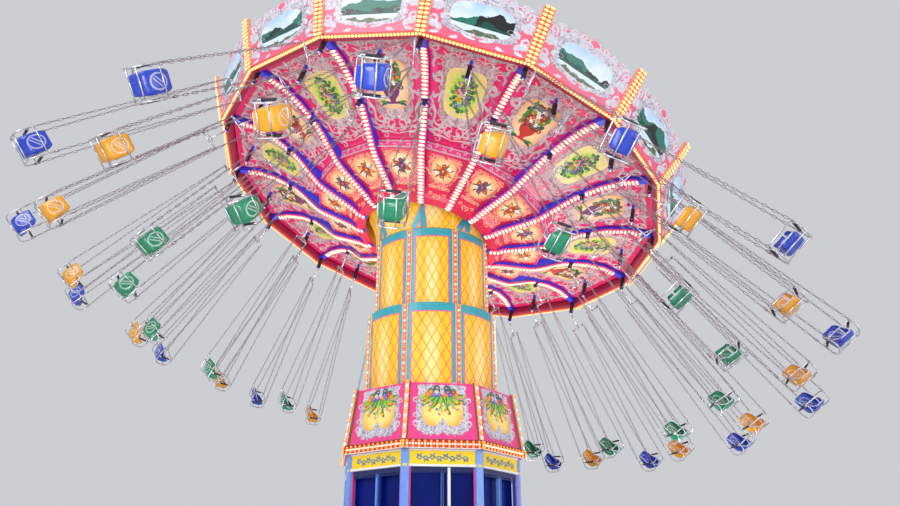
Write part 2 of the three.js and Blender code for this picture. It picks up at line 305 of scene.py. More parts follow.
def finish(name, look, roughness, metallic=0.0, coat=0.0, grain=7.0, wear=0.22, glow=0.0, bump=0.0,
           clear=0.0, specular=0.5):
    """A paint, metal or lens with slight cloudy wear. Its look is a colour's code or a pattern."""
    material = bpy.data.materials.new(name)
    material.use_nodes = True
    graph = Graph(material.node_tree)
    shader = material.node_tree.nodes["Principled BSDF"]
    where = graph.add("ShaderNodeTexCoord")["Object"]
    cloud = graph.noise(where, grain)
    base = look(graph, where) if callable(look) else look
    tinted = graph.mix(wear, base, cloud, "OVERLAY")
    unlit, uneven = 0.65, 0.16  # how dark a lens is without its glow, and how far the roughness strays
    graph.feed(shader, "Base Color", graph.mix(unlit, tinted, (0.0, 0.0, 0.0)) if glow else tinted)
    graph.feed(shader, "Roughness", roughness + (cloud - 0.5) * uneven)
    shader.inputs["Metallic"].default_value = metallic
    shader.inputs["Coat Weight"].default_value = coat
    shader.inputs["Coat Roughness"].default_value = 0.12
    shader.inputs["Transmission Weight"].default_value = clear
    shader.inputs["Specular IOR Level"].default_value = specular
    if glow:
        graph.feed(shader, "Emission Color", tinted)
        shader.inputs["Emission Strength"].default_value = glow
        material.cycles.emission_sampling = "NONE"
    if bump:
        fine = graph.noise(where, grain * 9, 2.0)
        raised = graph.add("ShaderNodeBump", {}, {"Strength": bump, "Distance": 0.002, "Height": fine})
        graph.feed(shader, "Normal", raised[0])
    return material


def lattice(across, along, line):
    """Diamond lines on gold that pales to cream in the middle of each panel."""

    def pattern(graph, _where):
        u, v = graph.places()
        rising = u * (across / 2) + v * along
        falling = u * (across / 2) - v * along
        near = rising.math("PINGPONG", 0.5).math("MINIMUM", falling.math("PINGPONG", 0.5))
        middle = (1 - (u * 2.0) ** 2).math("MAXIMUM", 0.0)
        height = (1 - ((v - 0.5) * 1.9) ** 2).math("MAXIMUM", 0.0)
        glow = middle * height * 0.85
        ground, pale = graph.mix(glow, "gold", "cream"), graph.mix(glow * 0.6, "lattice", "FBC66A")
        return graph.mix(near < line, ground, pale)

    return pattern


def airbrushed(inner, outer, power=1.6):
    """A colour that deepens towards the edge of a picture field."""

    def pattern(graph, where):
        u, v = graph.places()
        far = abs(u) ** 2 + abs(v * 2 - 1) ** 2
        soft = graph.noise(where, 5.0) * 0.5
        return graph.mix((far ** power * 0.6 + soft - 0.2).math("MAXIMUM", 0.0), inner, outer)

    return pattern


def carving_painted_light(light, dark, scale):
    """A carved ground drawn only in colour: its pale ridges are painted highlight and its darker hollows
    painted shade.
    """

    def pattern(graph, where):
        bands = graph.noise(where, scale, distortion=1.6)
        return graph.mix((abs(bands - 0.5) * 9.0).math("MINIMUM", 1.0), light, dark)

    return pattern


def seat_pattern(setting):
    """A moulded seat with a pale oval and two slanting bars painted on its back."""

    def pattern(graph, where):
        u, v = graph.places()
        across = u * 1.35
        along = (v - 0.72) * 5.6
        far = across ** 2 + along ** 2
        oval = (far > 0.62) * (far < 0.98)
        slant = across * 0.8 + along
        bars = ((abs(slant - 0.22) < 0.1) + (abs(slant + 0.22) < 0.1)) * (far < 0.5)
        pale = tuple(min(1.0, c * 0.5 + 0.5) for c in tint(setting))
        scuff = graph.noise(where, 30.0) * 0.5
        return graph.mix((oval + bars) * (1.05 - scuff), setting, pale)

    return pattern


def landscape(graph, where):
    """Sky, dark hills, a lake and a shore, different on each panel because it follows the place."""
    u, v = graph.places()
    sky = graph.mix(v, "FFFFFF", "A6CEF4")
    clouds = graph.noise(where, 2.2)
    scene = graph.mix((clouds - 0.45).math("MAXIMUM", 0.0) * 3.0, sky, "FFFFFF")
    layers = [(0.60, 0.9, 1.1, "1C7462"), (0.42, 1.0, 2.1, "0C1618"), (0.36, 0.5, 3.4, "0E4A40"),
              (0.27, 0.06, 1.0, "D6E8FA"), (0.13, 0.3, 3.3, "5C6A44")]
    for level, swing, scale, code in layers:
        ridge = graph.noise(where, scale, 5.0)
        scene = graph.mix(v < (ridge - 0.5) * swing * 2 + level, scene, code)
    edge = (abs(u) ** 4 + abs(v * 2 - 1) ** 4) > 1.05
    return graph.mix(edge, scene, "DCCFD8")


def planks(graph, where):
    """Painted deck boards with darker joints and scuffs."""
    parts = graph.add("ShaderNodeSeparateXYZ", {}, {0: where})
    scuff = graph.noise(where, 3.0, 6.0)
    board = (parts["X"] * 3.1).math("FLOOR") * 0.37
    return graph.mix(board.math("FRACT") * 0.25 + scuff * 0.6, "5F6166", "A5A6A8")


# Finishes by name: a colour's code or setting or a pattern, the roughness, and what else differs.
# Where nothing else is given, it is a paint with a thin lacquer.
LACQUER = {"coat": 0.3, "wear": 0.2}
LIT_GOLD = {"coat": 0.2, "grain": 2.0, "wear": 0.15}
CARVED = {"grain": 20.0, "wear": 0.3, "bump": 0.3}
SEAT_GEL = {"coat": 0.6, "grain": 12.0, "wear": 0.15}
FINISHES = {
    "deck_steel_paint": ("8A8D92", 0.5, {"metallic": 0.5, "grain": 3.0, "wear": 0.4}),
    "deck_boards": (planks, 0.6, {"grain": 5.0, "wear": 0.3, "bump": 0.4}),
    "gold_lattice_deck": (lattice(9, 2.6, 0.045), 0.35, {"coat": 0.4}),
    "rose_border": ("rose", 0.35, {"coat": 0.4}),
    "teal_frame": ("teal", 0.35, {"coat": 0.4}),
    "scarlet_board": ("scarlet", 0.4, {"coat": 0.3}),
    "step_edge_yellow": ("F0C020", 0.35),
    "step_grip": ("4A4C50", 0.75, {"grain": 60.0, "wear": 0.6, "bump": 0.8}),
    "mast_steel_bright": ("A6A9AE", 0.3, {"metallic": 0.85, "grain": 4.0, "wear": 0.3}),
    "booth_post_blue": ("post", 0.3, {"coat": 0.5, "wear": 0.15}),
    "booth_panel_blue": ("2C56C8", 0.35, {"coat": 0.4}),
    "booth_blue_glass": ("001A7E", 0.2, {"wear": 0.45, "clear": 0.2, "grain": 1.2, "specular": 0.1}),
    "window_white": ("F2F4FA", 0.35),
    "window_bar_navy": ("0A1A5C", 0.2, {"coat": 0.3, "wear": 0.1}),
    "sign_yellow_paint": ("sign", 0.35, {"coat": 0.4, "wear": 0.1}),
    "sign_scroll_slate": ("5F8CA6", 0.45),
    "skirt_rose_paint": ("rose", 0.35, {"coat": 0.4, "grain": 2.0, "wear": 0.25}),
    "cartouche_cream": (airbrushed("FFEC8A", "F8B030", 1.8), 0.45, {"coat": 0.3}),
    # The carved grounds carry painted light: pale ridges as painted highlight, darker hollows as painted
    # shade.
    "silver_carved_ground": (
        carving_painted_light("DDD6E2", "9A92A4", 11.0), 0.4, {**CARVED, "metallic": 0.1, "coat": 0.2}
    ),
    "silver_scroll_paint": ("silver", 0.4, {"metallic": 0.15, "coat": 0.2, "grain": 14.0, "wear": 0.4}),
    "leaf_green_paint": ("leaf", 0.45, {"grain": 20.0}),
    "lime_paint": ("9CC83A", 0.45),
    "orange_paint": ("F2842C", 0.45),
    "violet_paint": ("6A5CC8", 0.45),
    "pink_paint": ("F07AB4", 0.45),
    "plum_paint": ("701C68", 0.45),
    "umber_paint": ("6A3418", 0.5),
    "deep_green_paint": ("14503A", 0.45),
    "flower_eye_yellow": ("F8DC4A", 0.45),
    "flower_red_paint": ("C8241C", 0.45),
    "flower_white_paint": ("F6F0E8", 0.45),
    "cream_board": ("F0CCA8", 0.35),
    # Brown: the sides of the skirt's corner boxes, where the brown is painted shade standing for their beige
    # sides in shadow, and a ledge over the foot band.
    "brown_board_and_painted_shade": ("8C4A2C", 0.5),
    "foot_band_red": ("DC2230", 0.35),
    "foot_band_blush": ("FF9A8C", 0.4),
    "sleeve_inside_paint": ("C98A2A", 0.5, {"grain": 4.0}),
    "salmon_lamp_board": ("E0776C", 0.4, {"coat": 0.2}),
    "gold_lattice_lower": (lattice(4, 5.6, 0.06), 0.4, LIT_GOLD),
    "gold_lattice_upper": (lattice(4, 5.6, 0.06), 0.4, LIT_GOLD),
    "gold_lattice_bell": (lattice(7, 3.4, 0.06), 0.4, LIT_GOLD),
    "head_steel": ("8E9298", 0.35, {"metallic": 0.85, "grain": 5.0}),
    "rib_blue_paint": ("rib", 0.3, {"coat": 0.5, "grain": 3.0, "wear": 0.2}),
    "rim_board_orange": ("FF5C3C", 0.4),
    "rim_lining_plum": ("9A0A3C", 0.5),
    "hub_lining_gold": ("FFB83C", 0.6),
    "hanger_dark_steel": ("3A3444", 0.4, {"metallic": 0.6, "grain": 9.0}),
    "hanger_pin_steel": ("A8A4B0", 0.3, {"metallic": 0.9, "grain": 9.0}),
    "ceiling_magenta": ("magenta", 0.45, {"coat": 0.2, "grain": 1.6, "wear": 0.35}),
    "ceiling_scarlet": ("scarlet", 0.45, {"coat": 0.2, "grain": 2.0, "wear": 0.35}),
    # The carved grounds carry painted light: pale ridges as painted highlight, darker hollows as painted
    # shade.
    "ceiling_carved_silver": (carving_painted_light("D0B0B0", "9C6E7C", 9.0), 0.45, CARVED),
    "ceiling_carved_peach": (carving_painted_light("F2A07E", "D83A56", 9.0), 0.45, CARVED),
    "ceiling_scroll_paint": ("CDB6B8", 0.45, {"metallic": 0.1, "coat": 0.15, "grain": 14.0, "wear": 0.4}),
    "peach_scroll_paint": ("F0B490", 0.45),
    "picture_peach": (airbrushed("peach", "EBA468"), 0.45, {"coat": 0.2}),
    "picture_straw": (airbrushed("B8CC3C", "F8CF86", 0.8), 0.45, {"coat": 0.2}),
    "panel_edge_rose": ("EE2E78", 0.4),
    "riser_rose": ("F23C84", 0.45),
    "riser_scroll_grey": ("E4C4D4", 0.45),
    "crown_blush_paint": ("blush", 0.4, {"coat": 0.3, "grain": 1.4, "wear": 0.35}),
    "crown_batten_cream": ("E6C4B0", 0.55),
    "crown_board_coral": ("FF6450", 0.4),
    "crown_board_salmon": ("FFA088", 0.4),
    "landscape_paint": (landscape, 0.4, {"coat": 0.3, "wear": 0.1}),
    "roof_canvas_rose": ("C83C74", 0.6),
    "green_seat_shell": (seat_pattern("green_seat"), 0.25, SEAT_GEL),
    "yellow_seat_shell": (seat_pattern("yellow_seat"), 0.25, SEAT_GEL),
    "blue_seat_shell": (seat_pattern("blue_seat"), 0.25, SEAT_GEL),
    "seat_edge_white": ("D8DCE8", 0.3),
    "seat_rail_chrome": ("D8D8DE", 0.22, {"metallic": 0.9, "grain": 8.0}),
    "arm_pad_black": ("24222C", 0.7),
    "chain_steel": ("A89AA2", 0.35, {"metallic": 0.8, "grain": 10.0}),
    "warm_white_lens": ("FFF0C4", 0.2, {"glow": 1.15, "wear": 0.05}),
    "yellow_lens": ("FFE494", 0.2, {"glow": 1.15, "wear": 0.05}),
    "amber_lens": ("FFB04A", 0.2, {"glow": 1.1, "wear": 0.05}),
    "lamp_holder": ("F0443C", 0.4, {"wear": 0.2}),
    "crown_lamp_holder": ("FF8468", 0.4, {"wear": 0.2}),
    "rib_lamp_holder": ("F23C9A", 0.4, {"wear": 0.2}),
}

# Kinds of lamp row: the height of a lamp as a share of its radius, and the finishes of every first
# lamp, of every second and of their holders
LAMP_KINDS = {
    "two_tone": (0.9, "warm_white_lens", "amber_lens", "lamp_holder"),
    "white": (0.9, "warm_white_lens", "warm_white_lens", "lamp_holder"),
    "amber": (0.9, "amber_lens", "amber_lens", "lamp_holder"),
    "crown": (0.8, "yellow_lens", "yellow_lens", "crown_lamp_holder"),
    "rib": (0.8, "warm_white_lens", "warm_white_lens", "rib_lamp_holder"),
}


def paints(*names):
    """The finishes of those names, each made the first time that it is asked for."""
    found = []
    for name in names:
        look, roughness, *others = FINISHES[name]
        options = others[0] if others else LACQUER
        found.append(bpy.data.materials.get(name) or finish(name, look, roughness, **options))
    return found


# Meshes


class Shape:
    """Closed shells gathered into one mesh. Each face has a colour, which is short for its finish."""

    def __init__(self, **finishes):
        """Takes the finish that each colour stands for. A shape of one finish calls it plain."""
        self.finishes = finishes
        self.points = []
        self.marks = []
        self.faces = []
        self.colours = []

    def add(self, points, faces, colours, marks=()):
        """Adds a shell. Marks are its points' places in the UV map."""
        first = len(self.points)
        self.points.extend(points)
        self.marks.extend(marks or [(0.0, 0.0)] * len(points))
        self.faces.extend([first + i for i in face] for face in faces)
        self.colours.extend(colours)

    def loft(self, rings, colour="plain", marks=(), closed=False, colouring=None):
        """A skin over rings of points. A closed loft joins its last ring to its first."""
        count = len(rings[0])
        steps = len(rings) if closed else len(rings) - 1
        faces, colours = [], []
        for i in range(steps):
            j = (i + 1) % len(rings)
            for k in range(count):
                n = (k + 1) % count
                faces.append([i * count + k, i * count + n, j * count + n, j * count + k])
                colours.append(colouring(i, k) if colouring else colour)
        if not closed:
            faces += [list(range(count)), [steps * count + k for k in range(count)]]
            colours += [colour, colour]
        self.add([p for ring in rings for p in ring], faces, colours, [m for ring in marks for m in ring])

    def mesh(self, name, place=Matrix(), smooth=False):
        """The mesh of the shells, moved to a place, with their finishes."""
        made = bpy.data.meshes.new(name)
        made.from_pydata(self.points, [], self.faces)
        for material in paints(*self.finishes.values()):
            made.materials.append(material)
        numbers = {colour: number for number, colour in enumerate(self.finishes)}
        made.polygons.foreach_set("material_index", [numbers[colour] for colour in self.colours])
        made.polygons.foreach_set("use_smooth", [smooth] * len(self.faces))
        layer = made.uv_layers.new(name="place")
        corners = [0] * len(made.loops)
        made.loops.foreach_get("vertex_index", corners)
        layer.data.foreach_set("uv", [n for c in corners for n in self.marks[c]])
        outward(made)
        made.transform(place)
        made.validate()
        return made


def outward(mesh):
    """Turns every closed shell's faces outwards."""
    work = bmesh.new()
    work.from_mesh(mesh)
    bmesh.ops.recalc_face_normals(work, faces=work.faces)
    work.to_mesh(mesh)
    work.free()


def put(name, mesh, body, replaced=()):
    """Makes a piece of a mesh, on one body."""
    piece = bpy.data.objects.new(name, mesh)
    bpy.context.scene.collection.objects.link(piece)
    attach(piece, body)
    if replaced:
        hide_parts(*replaced)


def frame_of(body):
    """The frame that a body's pieces are modelled in: the canopy's own, or the ride's."""
    return canopy_place() if body == "canopy" else Matrix()


def dress(name, shape, body, replaced=()):
    """Makes a piece of a shape."""
    put(name, shape.mesh(name, frame_of(body)), body, replaced)


def repaint(name, *nodes):
    """Gives nodes of the frame a better finish."""
    (material,) = paints(name)
    for node in nodes:
        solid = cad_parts[node]
        for slot in solid.material_slots:
            slot.material = material
        if not solid.material_slots:
            solid.data.materials.append(material)


def turn(azimuth):
    """A turn round the vertical, in degrees."""
    return Matrix.Rotation(math.radians(azimuth), 4, "Z")


def axes(azimuth):
    """The turn to an azimuth, and the directions outwards and across there."""
    spin = turn(azimuth)
    return spin, spin @ Vector((1, 0, 0)), spin @ Vector((0, 1, 0))


def box(shape, low, high, colour, place=Matrix()):
    """A block between two opposite corners."""
    x, y, z = zip(low, high)
    points = [place @ Vector((a, b, c)) for c in z for b in y for a in x]
    faces = [[0, 2, 3, 1], [4, 5, 7, 6], [0, 1, 5, 4], [2, 6, 7, 3], [0, 4, 6, 2], [1, 3, 7, 5]]
    shape.add(points, faces, [colour] * 6)


def fin(shape, spin, outline, half_width, colour):
    """A flat plate that stands on a radius. Its outline gives radii and heights."""
    shape.loft([[spin @ Vector((r, y, h)) for r, h in outline] for y in (-half_width, half_width)], colour)


def ring_points(middle, first, second, count, start=0.0):
    """Points at even angles round a middle, from two directions as long as the radius."""
    angles = [2 * math.pi * (k + start) / count for k in range(count)]
    return [middle + first * math.cos(a) + second * math.sin(a) for a in angles]


def tube(shape, path, radius, sides, colour, closed=False):
    """A round bar along a path of points."""
    path = [Vector(p) for p in path]
    rings = []
    side = None
    for i, point in enumerate(path):
        before = path[i - 1] if closed or i else point
        after = path[(i + 1) % len(path)] if closed or i < len(path) - 1 else point
        along = (after - before).normalized()
        side = side or along.orthogonal()
        side = (side - along * side.dot(along)).normalized()
        rings.append(ring_points(point, side * radius, along.cross(side) * radius, sides, 0.5))
    shape.loft(rings, colour, closed=closed)


def knob(shape, centre, radius, sides, colour):
    """A ball of a few faces."""
    rings = []
    for level in range(1, 5):
        polar = math.pi * level / 5
        r = radius * math.sin(polar)
        middle = Vector(centre) + UP * (radius * math.cos(polar))
        rings.append(ring_points(middle, Vector((r, 0, 0)), Vector((0, r, 0)), sides))
    shape.loft(rings, colour)


def strip(shape, stations, width, thick, colour, sunk=0.004):
    """A flat lath with bevelled edges through stations of point, facing and side direction."""
    rings = []
    for point, facing, side in stations:
        reach = side * (width / 2)
        low, high = point - facing * sunk, point + facing * thick
        shoulder = point + facing * (thick * 0.55)
        bevel = side * min(0.15 * width, thick * 0.5)
        rings.append([low - reach, low + reach, shoulder + reach, high + reach - bevel,
                      high - reach + bevel, shoulder - reach])
    shape.loft(rings, colour)


def lath(shape, foot, head, facing, side, width, thick, colour, sunk=0.004):
    """A straight strip between two points."""
    strip(shape, [(foot, facing, side), (head, facing, side)], width, thick, colour, sunk)


def rail(shape, place, facing, s, reach, width, thick, colour, lift=0.0, sunk=0.02):
    """A level lath across a panel."""
    lath(shape, place(-reach, s, lift), place(reach, s, lift), facing, UP, width, thick, colour, sunk)


def level_run(place, facing, s, reach, lift):
    """A row of lamps across a panel, as its two ends."""
    return [(place(x, s, lift), facing) for x in (-reach, reach)]


def normal_at(path, i):
    """The direction square to a path of radii and heights at one of its points."""
    before, after = path[max(i - 1, 0)], path[min(i + 1, len(path) - 1)]
    along = Vector((after[0] - before[0], 0, after[1] - before[1])).normalized()
    return Vector((along.z, 0, -along.x))


def side_share(quarter):
    """How far out a straight side lies, in quarter bays from a corner, as a share of the corner's radius."""
    return math.cos(math.radians(BAY / 2)) / math.cos(math.radians(BAY * (quarter % 4) / 4 - BAY / 2))


def hoop(shape, profile, colour, straight_sides=True):
    """A closed band round the canopy's axis. Its profile gives corner radii and heights."""
    rings = []
    for i in range(BAYS * 4):
        spin = turn(CANOPY_TURN + BAY * i / 4)
        radial = side_share(i) if straight_sides else 1.0
        rings.append([spin @ Vector((r * radial, 0, h)) for r, h in profile])
    shape.loft(rings, colour, closed=True)


# Panels: where a point across and along a flat or round side lies


class Panels:
    """The flat sides of a profile of corner radii and heights, turned around the axis."""

    def __init__(self, profile, sides, first):
        self.sides = sides
        self.first = first
        self.half_side = math.pi / sides
        self.profile = [Vector((r * math.cos(self.half_side), h)) for r, h in profile]
        self.starts = [0.0]
        for a, b in zip(self.profile, self.profile[1:]):
            self.starts.append(self.starts[-1] + (b - a).length)
        self.length = self.starts[-1]

    def spot(self, s):
        """Radius to the middle of the side and height, and the facing in that plane."""
        last = len(self.profile) - 2
        i = next((k for k in range(last) if s < self.starts[k + 1]), last)
        along = (self.profile[i + 1] - self.profile[i]).normalized()
        return self.profile[i] + along * (s - self.starts[i]), Vector((along.y, -along.x))

    def half(self, s):
        return self.spot(s)[0].x * math.tan(self.half_side)

    def middle(self, side, share=0.5):
        return self.first + 360 / self.sides * (side + share)

    def on(self, side):
        """A function of across, along and lift for one side."""
        spin = turn(self.middle(side))

        def place(x, s, lift=0.0):
            point, facing = self.spot(s)
            point = point + facing * lift
            return spin @ Vector((point.x, x, point.y))

        return place


class Drum(Panels):
    """The same on a round drum, where across is measured along the arc."""

    def half(self, s):
        return self.spot(s)[0].x / math.cos(self.half_side) * self.half_side

    def on(self, side, share=0.5):
        middle = math.radians(self.middle(side, share))

        def place(x, s, lift=0.0):
            point, facing = self.spot(s)
            radius = point.x / math.cos(self.half_side)
            around = middle + x / radius
            radius += facing.x * lift
            return Vector((radius * math.cos(around), radius * math.sin(around), point.y + facing.y * lift))

        return place


def shifted(place, x0=0.0, s0=0.0, lift0=0.0, wide=1.0, tall=1.0):
    """The same places counted from another origin, and stretched across and along."""

    def there(x, s, lift=0.0):
        return place(x0 + x * wide, s0 + s * tall, lift0 + lift)

    return there


def both_ways(place):
    """The places of a panel, and their mirror images across its middle."""
    return place, shifted(place, wide=-1.0)


def curl(start, heading, length, wind, steps, ease=1.7):
    """A path that starts straight and winds tighter, by wind degrees in all."""
    x, y = start
    path = [(x, y)]
    for i in range(steps):
        angle = math.radians(heading + wind * ((i + 0.5) / steps) ** ease)
        x += math.cos(angle) * length / steps
        y += math.sin(angle) * length / steps
        path.append((x, y))
    return path


def stroke(shape, place, path, widths, relief, colour, flat=False, lift=0.0):
    """A raised ribbon along a path on a panel, with a ridge or a flat top. widths are half widths."""
    rings = []
    for i, (x, s) in enumerate(path):
        before, after = path[max(i - 1, 0)], path[min(i + 1, len(path) - 1)]
        dx, ds = after[0] - before[0], after[1] - before[1]
        reach = widths[i] / (math.hypot(dx, ds) or 1.0)
        left, right = (x - ds * reach, s + dx * reach), (x + ds * reach, s - dx * reach)
        top = [left, right] if flat else [(x, s)]
        rings.append([place(*left, lift - BURIED), *(place(*spot, lift + relief) for spot in top),
                      place(*right, lift - BURIED)])
    shape.loft(rings, colour)


def dome(shape, place, centre, radius, relief, colour, lift):
    """A low six-sided boss on a panel."""
    middle, first, second = Vector(centre), Vector((radius, 0)), Vector((0, radius))
    rings = []
    for share, height in ((1.0, -BURIED), (0.5, relief)):
        spots = ring_points(middle, first * share, second * share, 6)
        rings.append([place(*spot, lift + height) for spot in spots])
    shape.loft(rings, colour)


def scroll(shape, place, start, heading, length, wind, width, relief, colour, lift=0.0):
    """A tapering scroll with a boss in its eye."""
    path = curl(start, heading, length, wind, 11)
    last = len(path) - 1
    shares = [min(1.0, 0.25 + 0.75 * i / last) for i in range(last + 1)]
    widths = [width * (0.35 + 0.65 * math.sin(math.pi * share)) for share in shares]
    stroke(shape, place, path, widths, relief, colour, lift=lift)
    dome(shape, place, path[-1], width * 0.95, relief * 1.2, colour, lift)


def leaf(shape, place, start, heading, length, bend, width, relief, colour, lift=0.0, steps=4):
    """A pointed leaf with a raised midrib."""
    path = curl(start, heading, length, bend, steps, 1.0)
    widths = [max(0.001, width * math.sin(math.pi * (i / steps) ** 0.8)) for i in range(steps + 1)]
    stroke(shape, place, path, widths, relief, colour, lift=lift)


def scroll_pairs(shape, place, rows, relief, colour, lift):
    """Scrolls on both halves of a panel. rows give across, along, heading, length, wind and width."""
    for half in both_ways(place):
        for x, s, heading, length, wind, width in rows:
            scroll(shape, half, (x, s), heading, length, wind, width, relief, colour, lift)


def leaf_pairs(shape, place, rows, length, bend, width, relief, colour, lift):
    """Leaves on both halves of a panel. rows give across, along and heading."""
    for half in both_ways(place):
        for x, s, heading in rows:
            leaf(shape, half, (x, s), heading, length, bend, width, relief, colour, lift)


def flower(shape, place, centre, radius, colours, relief, petals, lift):
    """A rosette of pointed petals around a boss. colours are those of petals and boss."""
    petal, eye = colours
    for k in range(petals):
        leaf(shape, place, centre, 360 / petals * k + 20, radius, 25, radius * 0.34, relief, petal, lift, 3)
    dome(shape, place, centre, radius * 0.3, relief * 1.6, eye, lift)


def patch(shape, place, rows, lift, thick, colour, across=1):
    """A thin plate on a flat panel. rows give place along, and half width."""
    first, last = rows[0][0], rows[-1][0]
    shares = [2 * k / across - 1 for k in range(across + 1)]
    rings, marks = [], []
    for s, half in rows:
        v = (s - first) / (last - first)
        top = [place(half * t, s, lift + thick) for t in shares]
        rings.append(top + [place(half * t, s, lift - BURIED) for t in (1, -1)])
        marks.append([(t, v) for t in (*shares, 1, -1)])
    shape.loft(rings, colour, marks)


def at_kinks(panels, rows):
    """The same rows with one more at each bend of the profile between them."""
    made = list(rows)
    for bend in panels.starts[1:-1]:
        for (s, half), (after, after_half) in zip(rows, rows[1:]):
            if s < bend < after:
                made.append((bend, half + (after_half - half) * (bend - s) / (after - s)))
    return sorted(made)


def sheet(shape, place, columns, lift, thick, colour, along=1):
    """A thin plate on a flat panel. columns give place across, and where it starts and ends along."""
    lowest = min(low for _x, low, _high in columns)
    highest = max(high for _x, _low, high in columns)
    widest = max(abs(x) for x, _low, _high in columns)
    rings, marks = [], []
    for x, low, high in columns:
        steps = [low + (high - low) * k / along for k in range(along + 1)]
        top = [place(x, s, lift + thick) for s in steps]
        rings.append(top + [place(x, s, lift - BURIED) for s in (high, low)])
        marks.append([(x / widest, (s - lowest) / (highest - lowest)) for s in (*steps, high, low)])
    shape.loft(rings, colour, marks)


def rounded_rows(centre, half_height, half_width, flare=0.0, power=4.0, count=14, ripple=0.0):
    """Rows of a plate with rounded corners and wavy sides, wider at its far end by the flare."""
    rows = []
    for i in range(count + 1):
        t = -math.cos(math.pi * i / count)
        width = half_width * (1 + flare * t) * max(0.02, 1 - abs(t) ** power) ** (1 / power)
        rows.append((centre + half_height * t, width * (1 + ripple * math.cos(5.5 * math.pi * t))))
    return rows


# One side of a picture frame, in half sizes of the frame: place across and along, heading, length,
# and the wind of a scroll or the bend of a leaf
FRAME_SCROLLS = [
    (0.05, -1.02, 5, 0.95, 300),
    (0.06, -0.86, 40, 0.62, -330),
    (1.00, -1.02, 105, 0.80, -300),
    (0.94, -0.42, 78, 0.78, 300),
    (1.02, 0.10, 97, 0.85, -310),
    (0.92, 0.68, 66, 0.62, 300),
    (0.05, 1.03, -4, 0.92, -300),
    (0.06, 0.88, -40, 0.55, 330),
]
FRAME_LEAVES = [
    (0.50, -1.06, -70, 0.30, 60),
    (0.96, -1.05, -48, 0.34, 20),
    (1.04, -0.62, -20, 0.28, 70),
    (1.05, 0.44, 20, 0.30, -70),
    (0.96, 1.04, 48, 0.34, -20),
    (0.50, 1.08, 70, 0.30, -60),
]


def picture_frame(shape, place, middle, half_width, half_height, width, relief, lift):
    """A symmetrical surround of silver scrolls and leaves around a field on a panel."""
    scaled = width / math.sqrt(half_width * half_height)
    for wide in (half_width, -half_width):
        half = shifted(place, 0.0, middle, 0.0, wide, half_height)
        for x, s, heading, length, wind in FRAME_SCROLLS:
            scroll(shape, half, (x, s), heading, length, wind, scaled, relief, "silver", lift)
        for x, s, heading, length, bend in FRAME_LEAVES:
            leaf(shape, half, (x, s), heading, length, bend, scaled * 1.2, relief, "silver", lift)


def bouquet(shape, place, centre, reach, greens, blooms, relief, lift):
    """Leaves that spread from a point, with flowers among them. blooms are petal and eye colours."""
    x0, s0 = centre
    for k in range(15):
        length, bend = (reach * 0.95, 30) if k % 2 else (reach * 0.68, -30)
        colour = greens[k % len(greens)]
        leaf(shape, place, centre, 330 / 14 * k - 255, length, bend, reach * 0.14, relief, colour, lift)
    flower(shape, place, centre, reach * 0.42, blooms[0], relief, 8, lift + 0.003)
    around = blooms[1:]
    for k, colours in enumerate(around, 1):
        angle = math.radians(360 / len(around) * k + 90)
        spot = (x0 + math.cos(angle) * reach * 0.5, s0 + math.sin(angle) * reach * 0.5)
        flower(shape, place, spot, reach * 0.24, colours, relief, 8, lift + 0.003)


def foliage(shape, place, middle, reach, greens, blooms, leaves, relief, lift):
    """Leaves and flowers that fill an oval, placed along a sunflower's spiral."""
    half_width, half_height = reach
    small = min(half_width, half_height)
    for k in range(leaves):
        share = math.sqrt((k + 0.5) / leaves)
        x = half_width * math.cos(GOLDEN_ANGLE * k)
        s = half_height * math.sin(GOLDEN_ANGLE * k)
        bend = 50 if k % 2 else -50
        heading = math.degrees(math.atan2(s, x)) + bend * 0.3
        start, length = (x * share, middle + s * share), small * (0.72 - 0.3 * share)
        leaf(shape, place, start, heading, length, bend, small * 0.27, relief, greens[k % len(greens)], lift)
    count = max(5, leaves // 3)
    for k in range(count):
        share = 0.82 * math.sqrt((k + 0.3) / count)
        angle = GOLDEN_ANGLE * k + 1.0
        spot = (half_width * share * math.cos(angle), middle + half_height * share * math.sin(angle))
        colours = blooms[k % len(blooms)]
        flower(shape, place, spot, small * (0.3 - 0.1 * share), colours, relief, 5 + k % 2, lift + 0.004)


# Geometry Nodes


def node_tree(name, inputs):
    """A modifier tree: its graph, its named inputs, and points at even steps along the edges it is given."""
    tree = bpy.data.node_groups.new(name, "GeometryNodeTree")
    tree.interface.new_socket("Geometry", in_out="INPUT", socket_type="NodeSocketGeometry")
    tree.interface.new_socket("Geometry", in_out="OUTPUT", socket_type="NodeSocketGeometry")
    for label, default in inputs.items():
        kind = "NodeSocketMaterial" if default is None else "NodeSocketFloat"
        socket = tree.interface.new_socket(label, in_out="INPUT", socket_type=kind)
        if default is not None:
            socket.default_value = default
    graph = Graph(tree)
    start = graph.add("NodeGroupInput")
    curve = graph.add("GeometryNodeMeshToCurve", {}, {"Mesh": start["Geometry"]})["Curve"]
    even = {"Curve": curve, "Length": start["Pitch"]}
    return graph, start, graph.add("GeometryNodeResampleCurve", {"mode": "LENGTH"}, even)["Curve"]


